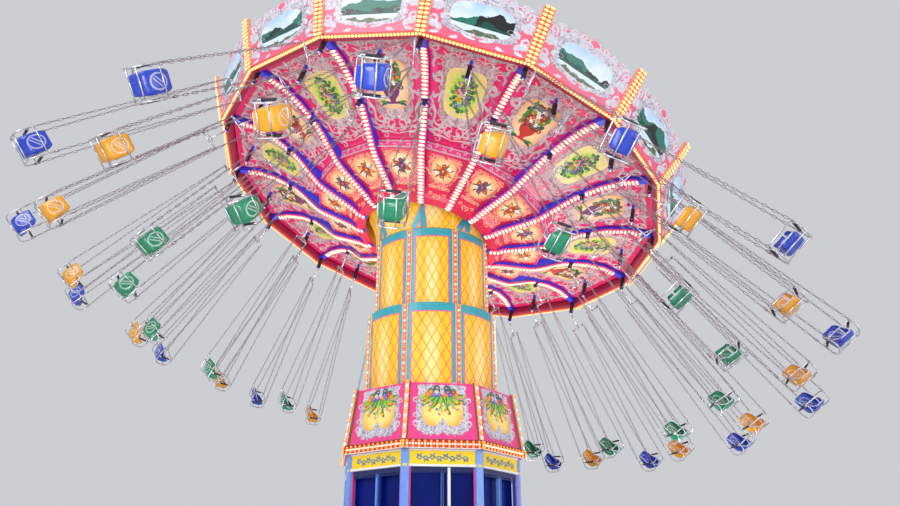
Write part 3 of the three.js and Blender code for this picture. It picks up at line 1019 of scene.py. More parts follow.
def lamp_tree():
    """Lamps in holders at even steps along edges, facing the way the edges' points say."""
    graph, start, steps = node_tree("lamp_rows", {
        "Pitch": 0.1, "Lamp Radius": 0.026, "Lamp Height": 0.9, "Lamp Width": 1.0, "Holder Height": 0.012,
        "Lamp": None, "Second Lamp": None, "Holder": None,
    })
    radius, width, holder = start["Lamp Radius"], start["Lamp Width"], start["Holder Height"]
    ball = graph.add("GeometryNodeMeshUVSphere", {}, {"Segments": 8, "Rings": 4, "Radius": radius})["Mesh"]
    squat = graph.vector(width, 1.0, start["Lamp Height"])
    ball = graph.changed(ball, Translation=graph.vector(z=holder), Scale=squat)
    ball = graph.marked(ball, "lamp", 1.0, "FACE")
    cup_size = {"Vertices": 6, "Radius": radius * 1.2, "Depth": holder * 2}
    cup = graph.add("GeometryNodeMeshCylinder", {}, cup_size)["Mesh"]
    cup = graph.changed(cup, Scale=graph.vector(width, 1.0, 1.0))
    both = graph.add("GeometryNodeJoinGeometry", {}, {0: [ball, cup]})[0]
    aim = graph.aimed("Z", graph.attribute("facing", "FLOAT_VECTOR"))
    aim = graph.aimed("Y", graph.add("GeometryNodeInputTangent")[0], aim, "Z")
    placed = graph.copied(steps, both, aim)
    index = graph.add("GeometryNodeInputIndex")[0]
    placed = graph.marked(placed, "odd", index.math("MODULO", 2.0), "INSTANCE")
    real = graph.add("GeometryNodeRealizeInstances", {}, {"Geometry": placed})[0]
    is_lamp, is_odd = graph.attribute("lamp"), graph.attribute("odd")
    real = graph.painted(real, start["Holder"])
    real = graph.painted(real, start["Lamp"], Selection=is_lamp > 0.5)
    real = graph.painted(real, start["Second Lamp"], Selection=is_lamp * is_odd > 0.5)
    graph.add("NodeGroupOutput", {}, {0: real})
    return graph.tree


def chain_tree():
    """Wire links at even steps along edges, each a quarter turn from the last."""
    graph, start, steps = node_tree("chain_links", {
        "Pitch": 0.08, "Link Length": 0.1, "Link Width": 0.034, "Wire": 0.005, "Metal": None,
    })
    circle = "GeometryNodeCurvePrimitiveCircle"
    ring = graph.add(circle, {}, {"Resolution": 6, "Radius": 0.5})["Curve"]
    ring = graph.changed(ring, Scale=graph.vector(start["Link Length"], start["Link Width"], 1.0))
    ring = graph.changed(ring, Rotation=(0.0, math.pi / 2, 0.0))
    wire = graph.add(circle, {}, {"Resolution": 3, "Radius": start["Wire"]})["Curve"]
    link = graph.add("GeometryNodeCurveToMesh", {}, {"Curve": ring, "Profile Curve": wire})[0]
    aim = graph.aimed("Z", graph.add("GeometryNodeInputTangent")[0])
    index = graph.add("GeometryNodeInputIndex")[0]
    quarter = graph.vector(z=index.math("MODULO", 2.0) * (math.pi / 2))
    quarter = graph.add("FunctionNodeEulerToRotation", {}, {0: quarter})[0]
    turned = {"Rotation": aim, "Rotate By": quarter}
    aim = graph.add("FunctionNodeRotateRotation", {"rotation_space": "LOCAL"}, turned)[0]
    placed = graph.copied(steps, link, aim)
    real = graph.add("GeometryNodeRealizeInstances", {}, {"Geometry": placed})[0]
    graph.add("NodeGroupOutput", {}, {0: graph.painted(real, start["Metal"])})
    return graph.tree


def grown(name, builder, values, runs):
    """The plain mesh that a tree makes along runs of point and facing."""
    tree = bpy.data.node_groups.get(name) or builder()
    source = bpy.data.meshes.new("runs")
    points, edges, facings = [], [], []
    for run in runs:
        first = len(points)
        points.extend(tuple(point) for point, _facing in run)
        facings.extend(value for _point, facing in run for value in facing)
        edges.extend((first + i, first + i + 1) for i in range(len(run) - 1))
    source.from_pydata(points, edges, [])
    source.attributes.new("facing", "FLOAT_VECTOR", "POINT").data.foreach_set("vector", facings)
    carrier = bpy.data.objects.new("runs", source)
    bpy.context.scene.collection.objects.link(carrier)
    modifier = carrier.modifiers.new("grow", "NODES")
    modifier.node_group = tree
    for item in tree.interface.items_tree:
        if item.in_out == "INPUT" and item.name in values:
            modifier[item.identifier] = values[item.name]
    scene = bpy.context.evaluated_depsgraph_get()
    mesh = bpy.data.meshes.new_from_object(carrier.evaluated_get(scene))
    carrier.modifiers.clear()
    bpy.data.objects.remove(carrier)
    return mesh


def lamps(name, runs, body, pitch, radius, kind="two_tone", width=1.0):
    """A piece of lamps along runs. Their width is a share of their radius."""
    height, *names = LAMP_KINDS[kind]
    lamp, second, holder = paints(*names)
    values = {
        "Pitch": pitch, "Lamp Radius": radius, "Lamp Height": height, "Lamp Width": width,
        "Lamp": lamp, "Second Lamp": second, "Holder": holder,
    }
    mesh = grown("lamp_rows", lamp_tree, values, runs)
    mesh.transform(frame_of(body))
    for attribute in ("lamp", "odd", "facing"):
        if attribute in mesh.attributes:
            mesh.attributes.remove(mesh.attributes[attribute])
    put(name, mesh, body)


# Places


def canopy_place():
    """The canopy's own frame at rest."""
    axis = Vector((-math.sin(math.radians(LEAN)), math.cos(math.radians(LEAN)), 0))
    lean = Matrix.Rotation(math.radians(TILT), 4, axis)
    return Matrix.Translation((0, 0, PIVOT_HEIGHT)) @ lean @ Matrix.Translation((0, 0, CANOPY_RISE))


def swing_place(azimuth, radius):
    """A swing's own frame at rest: its hinge, the way it faces, and up along its chains."""
    canopy = canopy_place()
    lean = canopy.to_3x3()
    spin, out, _across = axes(azimuth)
    out = lean @ out
    pull = lean @ axes(azimuth + LEAD_ANGLE)[1]
    strength = PULL_PER_METRE * (1 + WAVE_SHARE * math.cos(math.radians(azimuth - WAVE_AZIMUTH)))
    reach = radius + 0.7 * SWING_LENGTH
    for _step in range(8):
        along = (-UP + pull * strength * reach).normalized()
        reach = radius + SWING_LENGTH * along.dot(out)
    facing = lean @ (spin @ Vector((0, -1, 0)))
    facing = (facing - along * facing.dot(along)).normalized()
    place = Matrix((facing, facing.cross(along), -along)).transposed().to_4x4()
    place.translation = canopy @ (spin @ Vector((radius, 0, -HINGE_DEPTH)))
    return place


# Operators


class RIDE_OT_stage(bpy.types.Operator):
    """Floor, soft light and the photograph's camera"""

    bl_idname = "ride.stage"
    bl_label = "Stage"

    def execute(self, context):
        scene = context.scene
        bpy.ops.mesh.primitive_plane_add(size=240)
        floor = context.active_object
        floor.name = "floor"
        pale = bpy.data.materials.new("pale_floor")
        pale.use_nodes = True
        shader = pale.node_tree.nodes["Principled BSDF"]
        shader.inputs["Base Color"].default_value = (0.74, 0.74, 0.75, 1)
        shader.inputs["Roughness"].default_value = 0.8
        floor.data.materials.append(pale)
        world = bpy.data.worlds.new("studio")
        world.use_nodes = True
        sky = world.node_tree.nodes["Background"]
        sky.inputs["Color"].default_value = (0.86, 0.88, 0.92, 1)
        sky.inputs["Strength"].default_value = 0.7
        scene.world = world
        scene.view_settings.view_transform = "Standard"
        # Name, place, what it is aimed at, width, spread in degrees, power in watts
        lights = [
            ("key", (-13, -17, 15), (0, 0, 6), 11, 180, 1500),
            ("fill", (16, -12, 7), (0, 0, 6), 12, 180, 800),
            ("low", (-3, -17, 2.6), (0, 0, 9), 5, 80, 130),
            ("under_front", (0, -10.5, 2.0), (0, 1, 10), 4.4, 80, 58),
            ("under_left", (-4.7, 0.5, 1.5), (-3.5, 0.5, 10), 3, 100, 115),
            ("under_right", (4.7, 0.5, 1.5), (3.5, 0.5, 10), 3, 100, 115),
            ("under_far", (0, 4.7, 1.5), (0, 3.5, 10), 3, 100, 105),
            ("back", (6, 18, 16), (0, 0, 7), 11, 180, 1000),
        ]
        for name, spot, aim, width, spread, power in lights:
            data = bpy.data.lights.new(name, "AREA")
            data.size = width
            data.spread = math.radians(spread)
            data.energy = power
            light = bpy.data.objects.new(name, data)
            light.location = spot
            light.rotation_euler = (Vector(aim) - Vector(spot)).to_track_quat("-Z", "Y").to_euler()
            light.visible_camera = False
            scene.collection.objects.link(light)
        data = bpy.data.cameras.new("camera")
        data.lens = LENS
        data.sensor_width = 36
        camera = bpy.data.objects.new("camera", data)
        ahead = turn(-YAW) @ Matrix.Rotation(math.radians(90 + PITCH), 4, "X")
        camera.matrix_world = Matrix.Translation(EYE) @ ahead @ turn(ROLL)
        scene.collection.objects.link(camera)
        scene.camera = camera
        return {"FINISHED"}


class RIDE_OT_deck(bpy.types.Operator):
    """Deck boards, painted side boards with lamps, and step edges"""

    bl_idname = "ride.deck"
    bl_label = "Deck"

    def execute(self, context):
        repaint("deck_steel_paint", "base_deck")
        panels = Panels([(DECK_RADIUS, 0.17), (DECK_RADIUS, 1.2)], DECK_SIDES, 0)
        self.boards()
        self.sides(panels)
        self.steps(panels)
        return {"FINISHED"}

    def boards(self):
        """Boards in rings on top of the deck, with a gap round each."""
        shape = Shape(plain="deck_boards")
        top = Panels([(1.86, DECK_TOP), (5.985, DECK_TOP)], DECK_SIDES, 0)
        rows, gap = 14, 0.006
        pitch = top.length / rows
        for k in range(DECK_SIDES):
            spin = turn(top.middle(k))
            for i in range(rows):
                start, end = pitch * i + gap, pitch * (i + 1) - gap
                corners = []
                for s, side in ((start, -1), (end, -1), (end, 1), (start, 1)):
                    corners.append((top.profile[0].x + s, side * (top.half(s) - gap)))
                levels = (DECK_TOP - 0.003, DECK_TOP + 0.006)
                shape.loft([[spin @ Vector((x, y, z)) for x, y in corners] for z in levels])
        dress("deck_boards", shape, "base")

    def sides(self, panels):
        """Framed boards and a lamp row on every side without steps."""
        shape = Shape(gold="gold_lattice_deck", rose="rose_border", teal="teal_frame", red="scarlet_board")
        runs = []
        for k in range(DECK_SIDES):
            if k in STEP_SIDES:
                continue
            place = panels.on(k)
            _spin, out, _across = axes(panels.middle(k))
            half = panels.half(0) - 0.07
            for colour, inset, lift, thick, rows in (
                ("teal", 0.0, 0.0, 0.01, (0.03, 0.5, 0.94)),
                ("rose", 0.04, 0.01, 0.004, (0.07, 0.49, 0.9)),
                ("gold", 0.08, 0.014, 0.004, (0.11, 0.48, 0.86)),
            ):
                patch(shape, place, [(s, half - inset) for s in rows], lift, thick, colour)
            rail(shape, place, out, 0.985, half + 0.05, 0.075, 0.014, "red", sunk=0.004)
            runs.append(level_run(place, out, 0.985, half, 0.014))
        dress("deck_side_boards", shape, "base")
        lamps("deck_lamps", runs, "base", 0.16, 0.024)

    def steps(self, panels):
        """A yellow edge and a rough strip on every step."""
        shape = Shape(edge="step_edge_yellow", grip="step_grip")
        rises, going, half_width = 7, 0.28, 0.645
        for k in STEP_SIDES:
            spin = turn(panels.middle(k))
            for i in range(1, rises):
                level = DECK_TOP / rises * i
                nose = panels.profile[0].x - 0.005 + going * (rises - i)
                for colour, near, far, thick in (
                    ("edge", -0.05, 0.004, 0.008), ("grip", 0.02 - going, -0.07, 0.004),
                ):
                    low = (nose + near, -half_width, level - 0.004)
                    box(shape, low, (nose + far, half_width, level + thick), colour, spin)
        dress("step_edges", shape, "base")


class RIDE_OT_booth(bpy.types.Operator):
    """Booth posts, window trims, glass, and sign boards with a vine"""

    bl_idname = "ride.booth"
    bl_label = "Booth"

    def execute(self, context):
        repaint("booth_post_blue", "booth_frame")
        repaint("booth_blue_glass", "booth_glass")
        repaint("sign_yellow_paint", "sign_fascia")
        repaint("mast_steel_bright", "mast")
        shape = Shape(post="booth_post_blue", white="window_white", rose="rose_border",
                      blue="booth_panel_blue", navy="window_bar_navy", slate="sign_scroll_slate")
        walls = Panels([(BOOTH_RADIUS, DECK_TOP), (BOOTH_RADIUS, SIGN_TOP)], TOWER_SIDES, BOOTH_TURN)
        corner = BOOTH_RADIUS - 0.018
        for k in range(TOWER_SIDES):
            spin, out, across = axes(BOOTH_TURN + SIDE * k)
            foot = spin @ Vector((corner, 0, DECK_TOP + 0.01))
            head = spin @ Vector((corner, 0, SIGN_TOP - 0.01))
            lath(shape, foot, head, out, across, 0.15, 0.024, "post", 0.05)
            self.face(shape, walls, k)
        dress("booth_trim", shape, "base")
        return {"FINISHED"}

    def face(self, shape, walls, k):
        """Rails, window bars, panels and the sign's trim on one side."""
        place = walls.on(k)
        _spin, out, across = axes(walls.middle(k))
        half = walls.half(0)
        inset = -0.026
        low, top, sign, head = (z - DECK_TOP for z in (SILL_TOP, BOOTH_TOP - 0.09, BOOTH_TOP, SIGN_TOP))
        rails = [("white", low, 0.07, 0.03), ("navy", top + 0.045, 0.094, 0.006),
                 ("white", 0.08, 0.12, 0.012)]
        bars = [("rose", 0.1 - half, sign, 0.024, 0.014), ("rose", half - 0.1, sign, 0.024, 0.014)]
        if k % 2:
            bars += [("navy", 0.0, top, 0.03, 0.004), ("white", 0.118, sign - 0.01, 0.052, 0.02)]
        else:
            bars += [("blue", 0.04, top, 0.034, 0.006), ("blue", 0.55, top, 0.02, 0.006)]
            rails.append(("navy", top - 0.03, 0.02, 0.004))
        for colour, s, width, thick in rails:
            rail(shape, place, out, s, half - 0.09, width, thick, colour, inset)
        for colour, x, end, width, thick in bars:
            lath(shape, place(x, low, inset), place(x, end, inset), out, across, width, thick, colour, 0.05)
        for x in (-0.31, 0.31):
            beside = shifted(place, x, 0.0, inset)
            patch(shape, beside, [(s, 0.235) for s in (0.2, 0.5, 0.78)], 0.0, 0.012, "blue")
            patch(shape, beside, [(s, 0.19) for s in (0.25, 0.5, 0.73)], 0.012, 0.006, "post")
            patch(shape, beside, rounded_rows(0.49, 0.17, 0.13, 0.0, 2.0, 10), 0.018, 0.004, "blue")
        for s, width in ((sign + 0.02, 0.045), (head - 0.02, 0.03)):
            rail(shape, place, out, s, half - 0.07, width, 0.025, "white")
        self.vine(shape, place, (sign + head) / 2)

    def vine(self, shape, place, middle):
        """A wavy stem with curls and leaves on the sign board, where the photograph has lettering."""
        reach, waves, swing, steps = 0.47, 4, 0.034, 56
        relief, colour, lift = 0.004, "slate", 0.004
        path = []
        for i in range(steps + 1):
            wave = math.sin(2 * math.pi * waves * i / steps)
            path.append((reach * (2 * i / steps - 1), middle + swing * wave))
        stroke(shape, place, path, [0.009] * (steps + 1), relief, colour, lift=lift)
        for i in range(2 * waves):
            up = -1 if i % 2 else 1
            crest = reach * ((i + 0.5) / waves - 1)
            start = (crest - 0.052, middle + 0.006 * up)
            scroll(shape, place, start, -50 * up, 0.17, 300 * up, 0.011, relief, colour, lift)
            for heading in (35, 145):
                tip = (crest, middle + swing * up)
                leaf(shape, place, tip, heading * up, 0.062, 30, 0.015, relief, colour, lift)


class RIDE_OT_skirt(bpy.types.Operator):
    """Skirt cartouches with painted flowers, corner lamps and lamp rows along the foot"""

    bl_idname = "ride.skirt"
    bl_label = "Skirt"

    def execute(self, context):
        repaint("skirt_rose_paint", "skirt")
        profile = [(SKIRT_FOOT_RADIUS, SIGN_TOP), (SKIRT_HEAD_RADIUS, SKIRT_TOP)]
        panels = Panels(profile, TOWER_SIDES, BOOTH_TURN)
        shape = Shape(ground="silver_carved_ground", cream="cartouche_cream", silver="silver_scroll_paint",
                      green="leaf_green_paint", lime="lime_paint", orange="orange_paint",
                      violet="violet_paint", pink="pink_paint", yellow="flower_eye_yellow",
                      dark="deep_green_paint", red="flower_red_paint")
        for k in range(TOWER_SIDES):
            self.cartouche(shape, panels.on(k))
        dress("skirt_cartouches", shape, "base")
        self.boards(panels)
        return {"FINISHED"}

    def cartouche(self, shape, place):
        """A silver frame, wavy at its edge, round a two-lobed field with a hanging spray of flowers."""
        plate, field = [], []
        half_plate, half_field = 0.475, 0.378
        lobe_middle, half_lobe = 0.19, 0.192
        for i in range(-24, 25):
            far = abs(i) / 24
            low = 0.262 + 0.024 * math.cos(far * 15.0) + 0.1 * far ** 10
            high = 1.178 + 0.014 * math.cos(far * 16.0) - 0.32 * max(0.0, far - 0.86) / 0.14
            plate.append((i / 24 * half_plate, low, high))
        for i in range(-16, 17):
            x, far = i / 16 * half_field, abs(i) / 16
            lobe = max(0.0, 1 - ((abs(x) - lobe_middle) / half_lobe) ** 2) ** 0.8
            field.append((x, 0.57 - 0.175 * lobe, 1.04 - 0.1 * far ** 6))
        sheet(shape, place, plate, 0.0, 0.006, "ground")
        sheet(shape, place, field, 0.006, 0.004, "cream", 8)
        scroll_pairs(shape, place, [
            (0.012, 0.47, 70, 0.15, -330, 0.014), (0.012, 0.34, 35, 0.26, -300, 0.016),
            (0.02, 0.29, 20, 0.3, 300, 0.018), (0.16, 0.27, 10, 0.3, 300, 0.018),
            (0.46, 0.33, 130, 0.34, -300, 0.022), (0.43, 0.42, 95, 0.26, 300, 0.018),
            (0.42, 0.56, 80, 0.24, -300, 0.017), (0.425, 0.7, 85, 0.24, 300, 0.017),
            (0.41, 0.84, 80, 0.26, -290, 0.018), (0.42, 1.0, 95, 0.26, 300, 0.02),
            (0.28, 1.12, 170, 0.26, -300, 0.016), (0.38, 1.08, 20, 0.16, 250, 0.018),
        ], sizes().relief, "silver", 0.006)
        edge = [(0.41, 1.13, 40), (0.44, 0.4, -30), (0.44, 0.56, 0), (0.43, 0.72, 10), (0.42, 0.88, 20),
                (0.34, 0.3, -80), (0.21, 0.28, -85), (0.26, 1.13, 80), (0.08, 0.29, -85), (0.12, 1.14, 90)]
        leaf_pairs(shape, place, edge, 0.07, 25, 0.018, 0.006, "ground", 0.002)
        dark_plumes = [(0.02, 1.02, 60, 0.34, -330, 0.017), (0.07, 1.0, 30, 0.34, 320, 0.017)]
        scroll_pairs(shape, place, dark_plumes, 0.007, "dark", 0.012)
        scroll_pairs(shape, place, [(0.14, 1.03, 70, 0.26, -320, 0.017)], 0.007, "green", 0.012)
        self.spray(shape, place)

    def spray(self, shape, place):
        """Leaves that hang from the top of the field, with flowers among them and in a row above."""
        for count, reach, width, widest, greens in (
            (21, 0.42, 0.034, 82, ("lime", "lime", "green")), (15, 0.36, 0.026, 62, ("lime", "green")),
            (12, 0.22, 0.03, 78, ("green", "dark", "lime")),
        ):
            for i in range(count):
                spread = (i - (count - 1) / 2) / ((count - 1) / 2)
                length = reach * (1.0 if i % 2 else 0.8) * (1 - 0.22 * abs(spread))
                start, heading = (0.15 * spread, 1.0 - 0.02 * abs(spread)), spread * widest - 90
                bend = (26 if i % 3 else -22) * (1 if spread > 0 else -1)
                colour = greens[i % len(greens)]
                leaf(shape, place, start, heading, length, bend, width, 0.006, colour, 0.01)
        for i in range(21):
            spread = (i - 10) / 10
            reach = (0.37, 0.2, 0.29)[i % 3] * (1 - 0.2 * abs(spread))
            angle = math.radians(spread * 76 - 90)
            spot = (0.15 * spread + math.cos(angle) * reach, 0.98 + math.sin(angle) * reach)
            petals = ("pink", "orange", "red", "violet", "pink")[i % 5]
            flower(shape, place, spot, 0.034, (petals, "yellow"), 0.006, 5, 0.016)
        for i, petals in enumerate(("orange", "orange", "violet", "silver", "violet", "silver", "orange",
                                    "violet", "violet", "red", "orange")):
            spot = ((i - 5) * 0.052, 0.985 + 0.05 * (i % 2))
            flower(shape, place, spot, 0.055, (petals, "yellow"), 0.008, 7, 0.018)

    def boards(self, panels):
        """Corner boxes and the lamp band along the foot."""
        shape = Shape(cream="cream_board", red="foot_band_red", white="window_white",
                      rose="skirt_rose_paint", brown="brown_board_and_painted_shade", blush="foot_band_blush")
        corner_runs, foot_corner, foot_white, foot_amber = [], [], [], []
        rows = ((0.022, foot_amber), (0.068, foot_white), (0.114, foot_amber))
        proud, pitch = 0.045, 0.108
        run, rise = SKIRT_HEAD_RADIUS - SKIRT_FOOT_RADIUS, SKIRT_TOP - SIGN_TOP
        for k in range(TOWER_SIDES):
            spin, out, side = axes(BOOTH_TURN + SIDE * k)
            facing = spin @ Vector((rise, 0, -run)).normalized()
            foot = spin @ Vector((SKIRT_FOOT_RADIUS - 0.03, 0, SIGN_TOP + 0.15))
            head = spin @ Vector((SKIRT_HEAD_RADIUS - 0.008, 0, SKIRT_TOP + 0.012))
            front = facing * proud
            # The brown box shows only at its sides, and their brown is painted shade: the boxes' sides are
            # beige, and look brown only where they fall in shadow.
            lath(shape, foot, head, facing, side, 0.088, proud, "brown", 0.03)
            lath(shape, foot + front, head + front, facing, side, 0.074, 0.006, "cream")
            lamp_line = facing * (proud + 0.006)
            corner_runs.append([(foot.lerp(head, share) + lamp_line, facing) for share in (0.03, 0.98)])
            for height, _group in rows:
                spot = spin @ Vector((SKIRT_FOOT_RADIUS + 0.047, 0, SIGN_TOP + height))
                foot_corner.append([(spot - side * 0.0005, out), (spot + side * 0.0005, out)])

            place = panels.on(k)
            _spin, out, across = axes(panels.middle(k))
            half = panels.half(0.05)
            for colour, s, reach, width, thick in (
                ("red", 0.068, half + 0.014, 0.15, 0.035), ("brown", 0.15, half + 0.02, 0.018, 0.05),
                ("white", 0.0, half + 0.02, 0.014, 0.05),
                ("rose", 1.205, panels.half(1.2) - 0.04, 0.03, 0.012),
            ):
                rail(shape, place, out, s, reach, width, thick, colour)
            count = int((2 * half + 0.04) / pitch)
            end = (count - 1) / 2 * pitch
            for i in range(count):
                foot, head = (place(i * pitch - end, s, 0.035) for s in (0.012, 0.125))
                lath(shape, foot, head, out, across, 0.03, 0.004, "blush")
            for s, group in rows:
                group.append(level_run(place, out, s, end + 0.0005, 0.037))
        dress("skirt_boards", shape, "base")
        radius = sizes().lamp_radius
        for name, runs, lamp_pitch, share, kind in (
            ("skirt_corner_lamps", corner_runs, 0.088, 1.18, "two_tone"),
            ("skirt_foot_corner_lamps", foot_corner, 0.1, 1.0, "amber"),
            ("skirt_foot_lamps", foot_white, pitch / 2, 0.8, "white"),
            ("skirt_foot_amber_lamps", foot_amber, pitch, 0.85, "amber"),
        ):
            lamps(name, runs, "base", lamp_pitch, radius * share, kind)


def sleeve_skin(shape, drum):
    """A painted skin round a sleeve: gold panels, thin rose lines and teal frames."""
    band, line, foot_line = 0.17, 0.022, 0.012  # the teal band along the top, and the rose lines
    thick, sunk = 0.012, 0.001
    post = 0.12  # half the teal between two gold panels
    half = drum.half(0)
    edges = [half - 0.045, half - post, half - post - line]
    inner = edges[-1]
    left = [-half] + [-x for x in edges]
    columns = left + [-inner + inner * 2 * k / 8 for k in range(1, 8)] + [-x for x in reversed(left[1:])]
    gold_top = drum.length - band
    gold = gold_top - line - foot_line
    levels = [0.0, foot_line, *(foot_line + gold * k / 4 for k in range(1, 5)), gold_top, drum.length]
    rings, marks = [], []
    for side in range(TOWER_SIDES):
        place = drum.on(side)
        for x in columns:
            outer = [place(x, s, thick) for s in levels]
            rings.append(outer + [place(x, s, sunk) for s in reversed(levels)])
            column = [(x / inner, s / gold_top) for s in levels]
            marks.append(column + column[::-1])

    def colour(i, k):
        first = i % len(columns)
        ends = columns[first : first + 2]
        middle = abs(sum(ends)) / 2 if len(ends) == 2 else half
        if k >= len(levels) - 2 or middle > inner + line:
            return "teal"
        return "rose" if k in (0, len(levels) - 3) or middle > inner else "gold"

    shape.loft(rings, "gold", marks, closed=True, colouring=colour)


class RIDE_OT_tower(bpy.types.Operator):
    """Lattice skins, teal peaks and lamp strips of the two sleeves"""

    bl_idname = "ride.tower"
    bl_label = "Tower"

    def execute(self, context):
        repaint("sleeve_inside_paint", "lower_sleeve", "upper_sleeve")
        self.sleeve("lower", LOWER_SLEEVE_RADIUS, LOWER_SLEEVE_FOOT, LOWER_SLEEVE_TOP)
        self.sleeve("upper", UPPER_SLEEVE_RADIUS, UPPER_SLEEVE_FOOT, UPPER_SLEEVE_TOP - 0.006)
        self.bell()
        return {"FINISHED"}

    def sleeve(self, name, radius, low, high):
        """A sleeve's skin, and a lamp board over each of its corners."""
        body = name + "_tower"
        skin = Shape(gold="gold_lattice_" + name, rose="rose_border", teal="teal_frame")
        boards, runs = Shape(salmon="salmon_lamp_board", cream="cream_board"), []
        sleeve_skin(skin, Drum([(radius + 0.001, low), (radius + 0.001, high)], TOWER_SIDES, TOWER_TURN))
        skin_thick, thick, sunk = 0.012, 0.018, 0.02
        for k in range(TOWER_SIDES):
            spin, out, across = axes(TOWER_TURN + SIDE * k)
            foot = spin @ Vector((radius + skin_thick, 0, low))
            head = spin @ Vector((radius + skin_thick, 0, high - 0.012))
            lath(boards, foot, head, out, across, 0.094, thick, "salmon", sunk)
            for shift in (-0.05, 0.05):
                edge = across * shift
                lath(boards, foot + edge, head + edge, out, across, 0.012, thick + 0.008, "cream", sunk)
            runs.append([(end + out * thick + UP * rise, out) for end, rise in ((foot, 0.04), (head, -0.03))])
        dress(name + "_sleeve_skin", skin, body)
        dress(name + "_sleeve_boards", boards, body)
        lengths = sizes()
        pitch, lamp = lengths.lamp_pitch, lengths.lamp_radius
        lamps(name + "_sleeve_lamps", runs, body, pitch, lamp)

    def bell(self):
        """The flared skin at the top of the upper sleeve, with its peaks."""
        foot = UPPER_SLEEVE_TOP
        profile = [(1.216, foot - 0.004), (1.243, foot + 0.32), (1.323, foot + 0.57),
                   (1.404, BELL_TOP - 0.001)]
        drum = Drum(profile, TOWER_SIDES, TOWER_TURN)
        shape = Shape(gold="gold_lattice_bell", teal="teal_frame", rose="rose_border")
        rings, marks = [], []
        levels = [0.0, 0.16, 0.32, 0.45, 0.585, 0.67, drum.length]
        for side in range(TOWER_SIDES):
            place = drum.on(side)
            for k in range(-5, 5):
                share = k / 5
                outer = [place(share * drum.half(s), s, 0.008) for s in levels]
                rings.append(outer + [place(share * drum.half(s), s, -BURIED) for s in reversed(levels)])
                column = [(share, s / drum.length) for s in levels]
                marks.append(column + column[::-1])
        shape.loft(rings, "gold", marks, closed=True)
        for side in range(TOWER_SIDES):
            self.peak(shape, drum, side)
        dress("bell_skin", shape, "upper_tower")

    def peak(self, shape, drum, side):
        """A hollow teal peak on a rose one, leaning as the canopy's edge leans there."""
        place = drum.on(side, PEAK_SHIFT / SIDE)
        azimuth = drum.middle(side, PEAK_SHIFT / SIDE)
        skew = math.tan(math.radians(TILT)) * math.sin(math.radians(LEAN - azimuth))
        height, half_width = 0.57, 0.167
        hollow_height, half_hollow = 0.2, 0.05
        for colour, wider, thick in (("rose", 0.014, 0.003), ("teal", 0.0, 0.006)):
            for mirror in (1, -1):
                path, widths = [], []
                for i in range(13):
                    rise = height * i / 12
                    outer = half_width * (1 - i / 12)
                    inner = half_hollow * max(0.0, 1 - rise / hollow_height)
                    path.append((mirror * (outer + inner) / 2 + skew * rise, rise))
                    widths.append((outer - inner) / 2 + 0.002 + wider)
                stroke(shape, place, path, widths, thick, colour, True, 0.008)


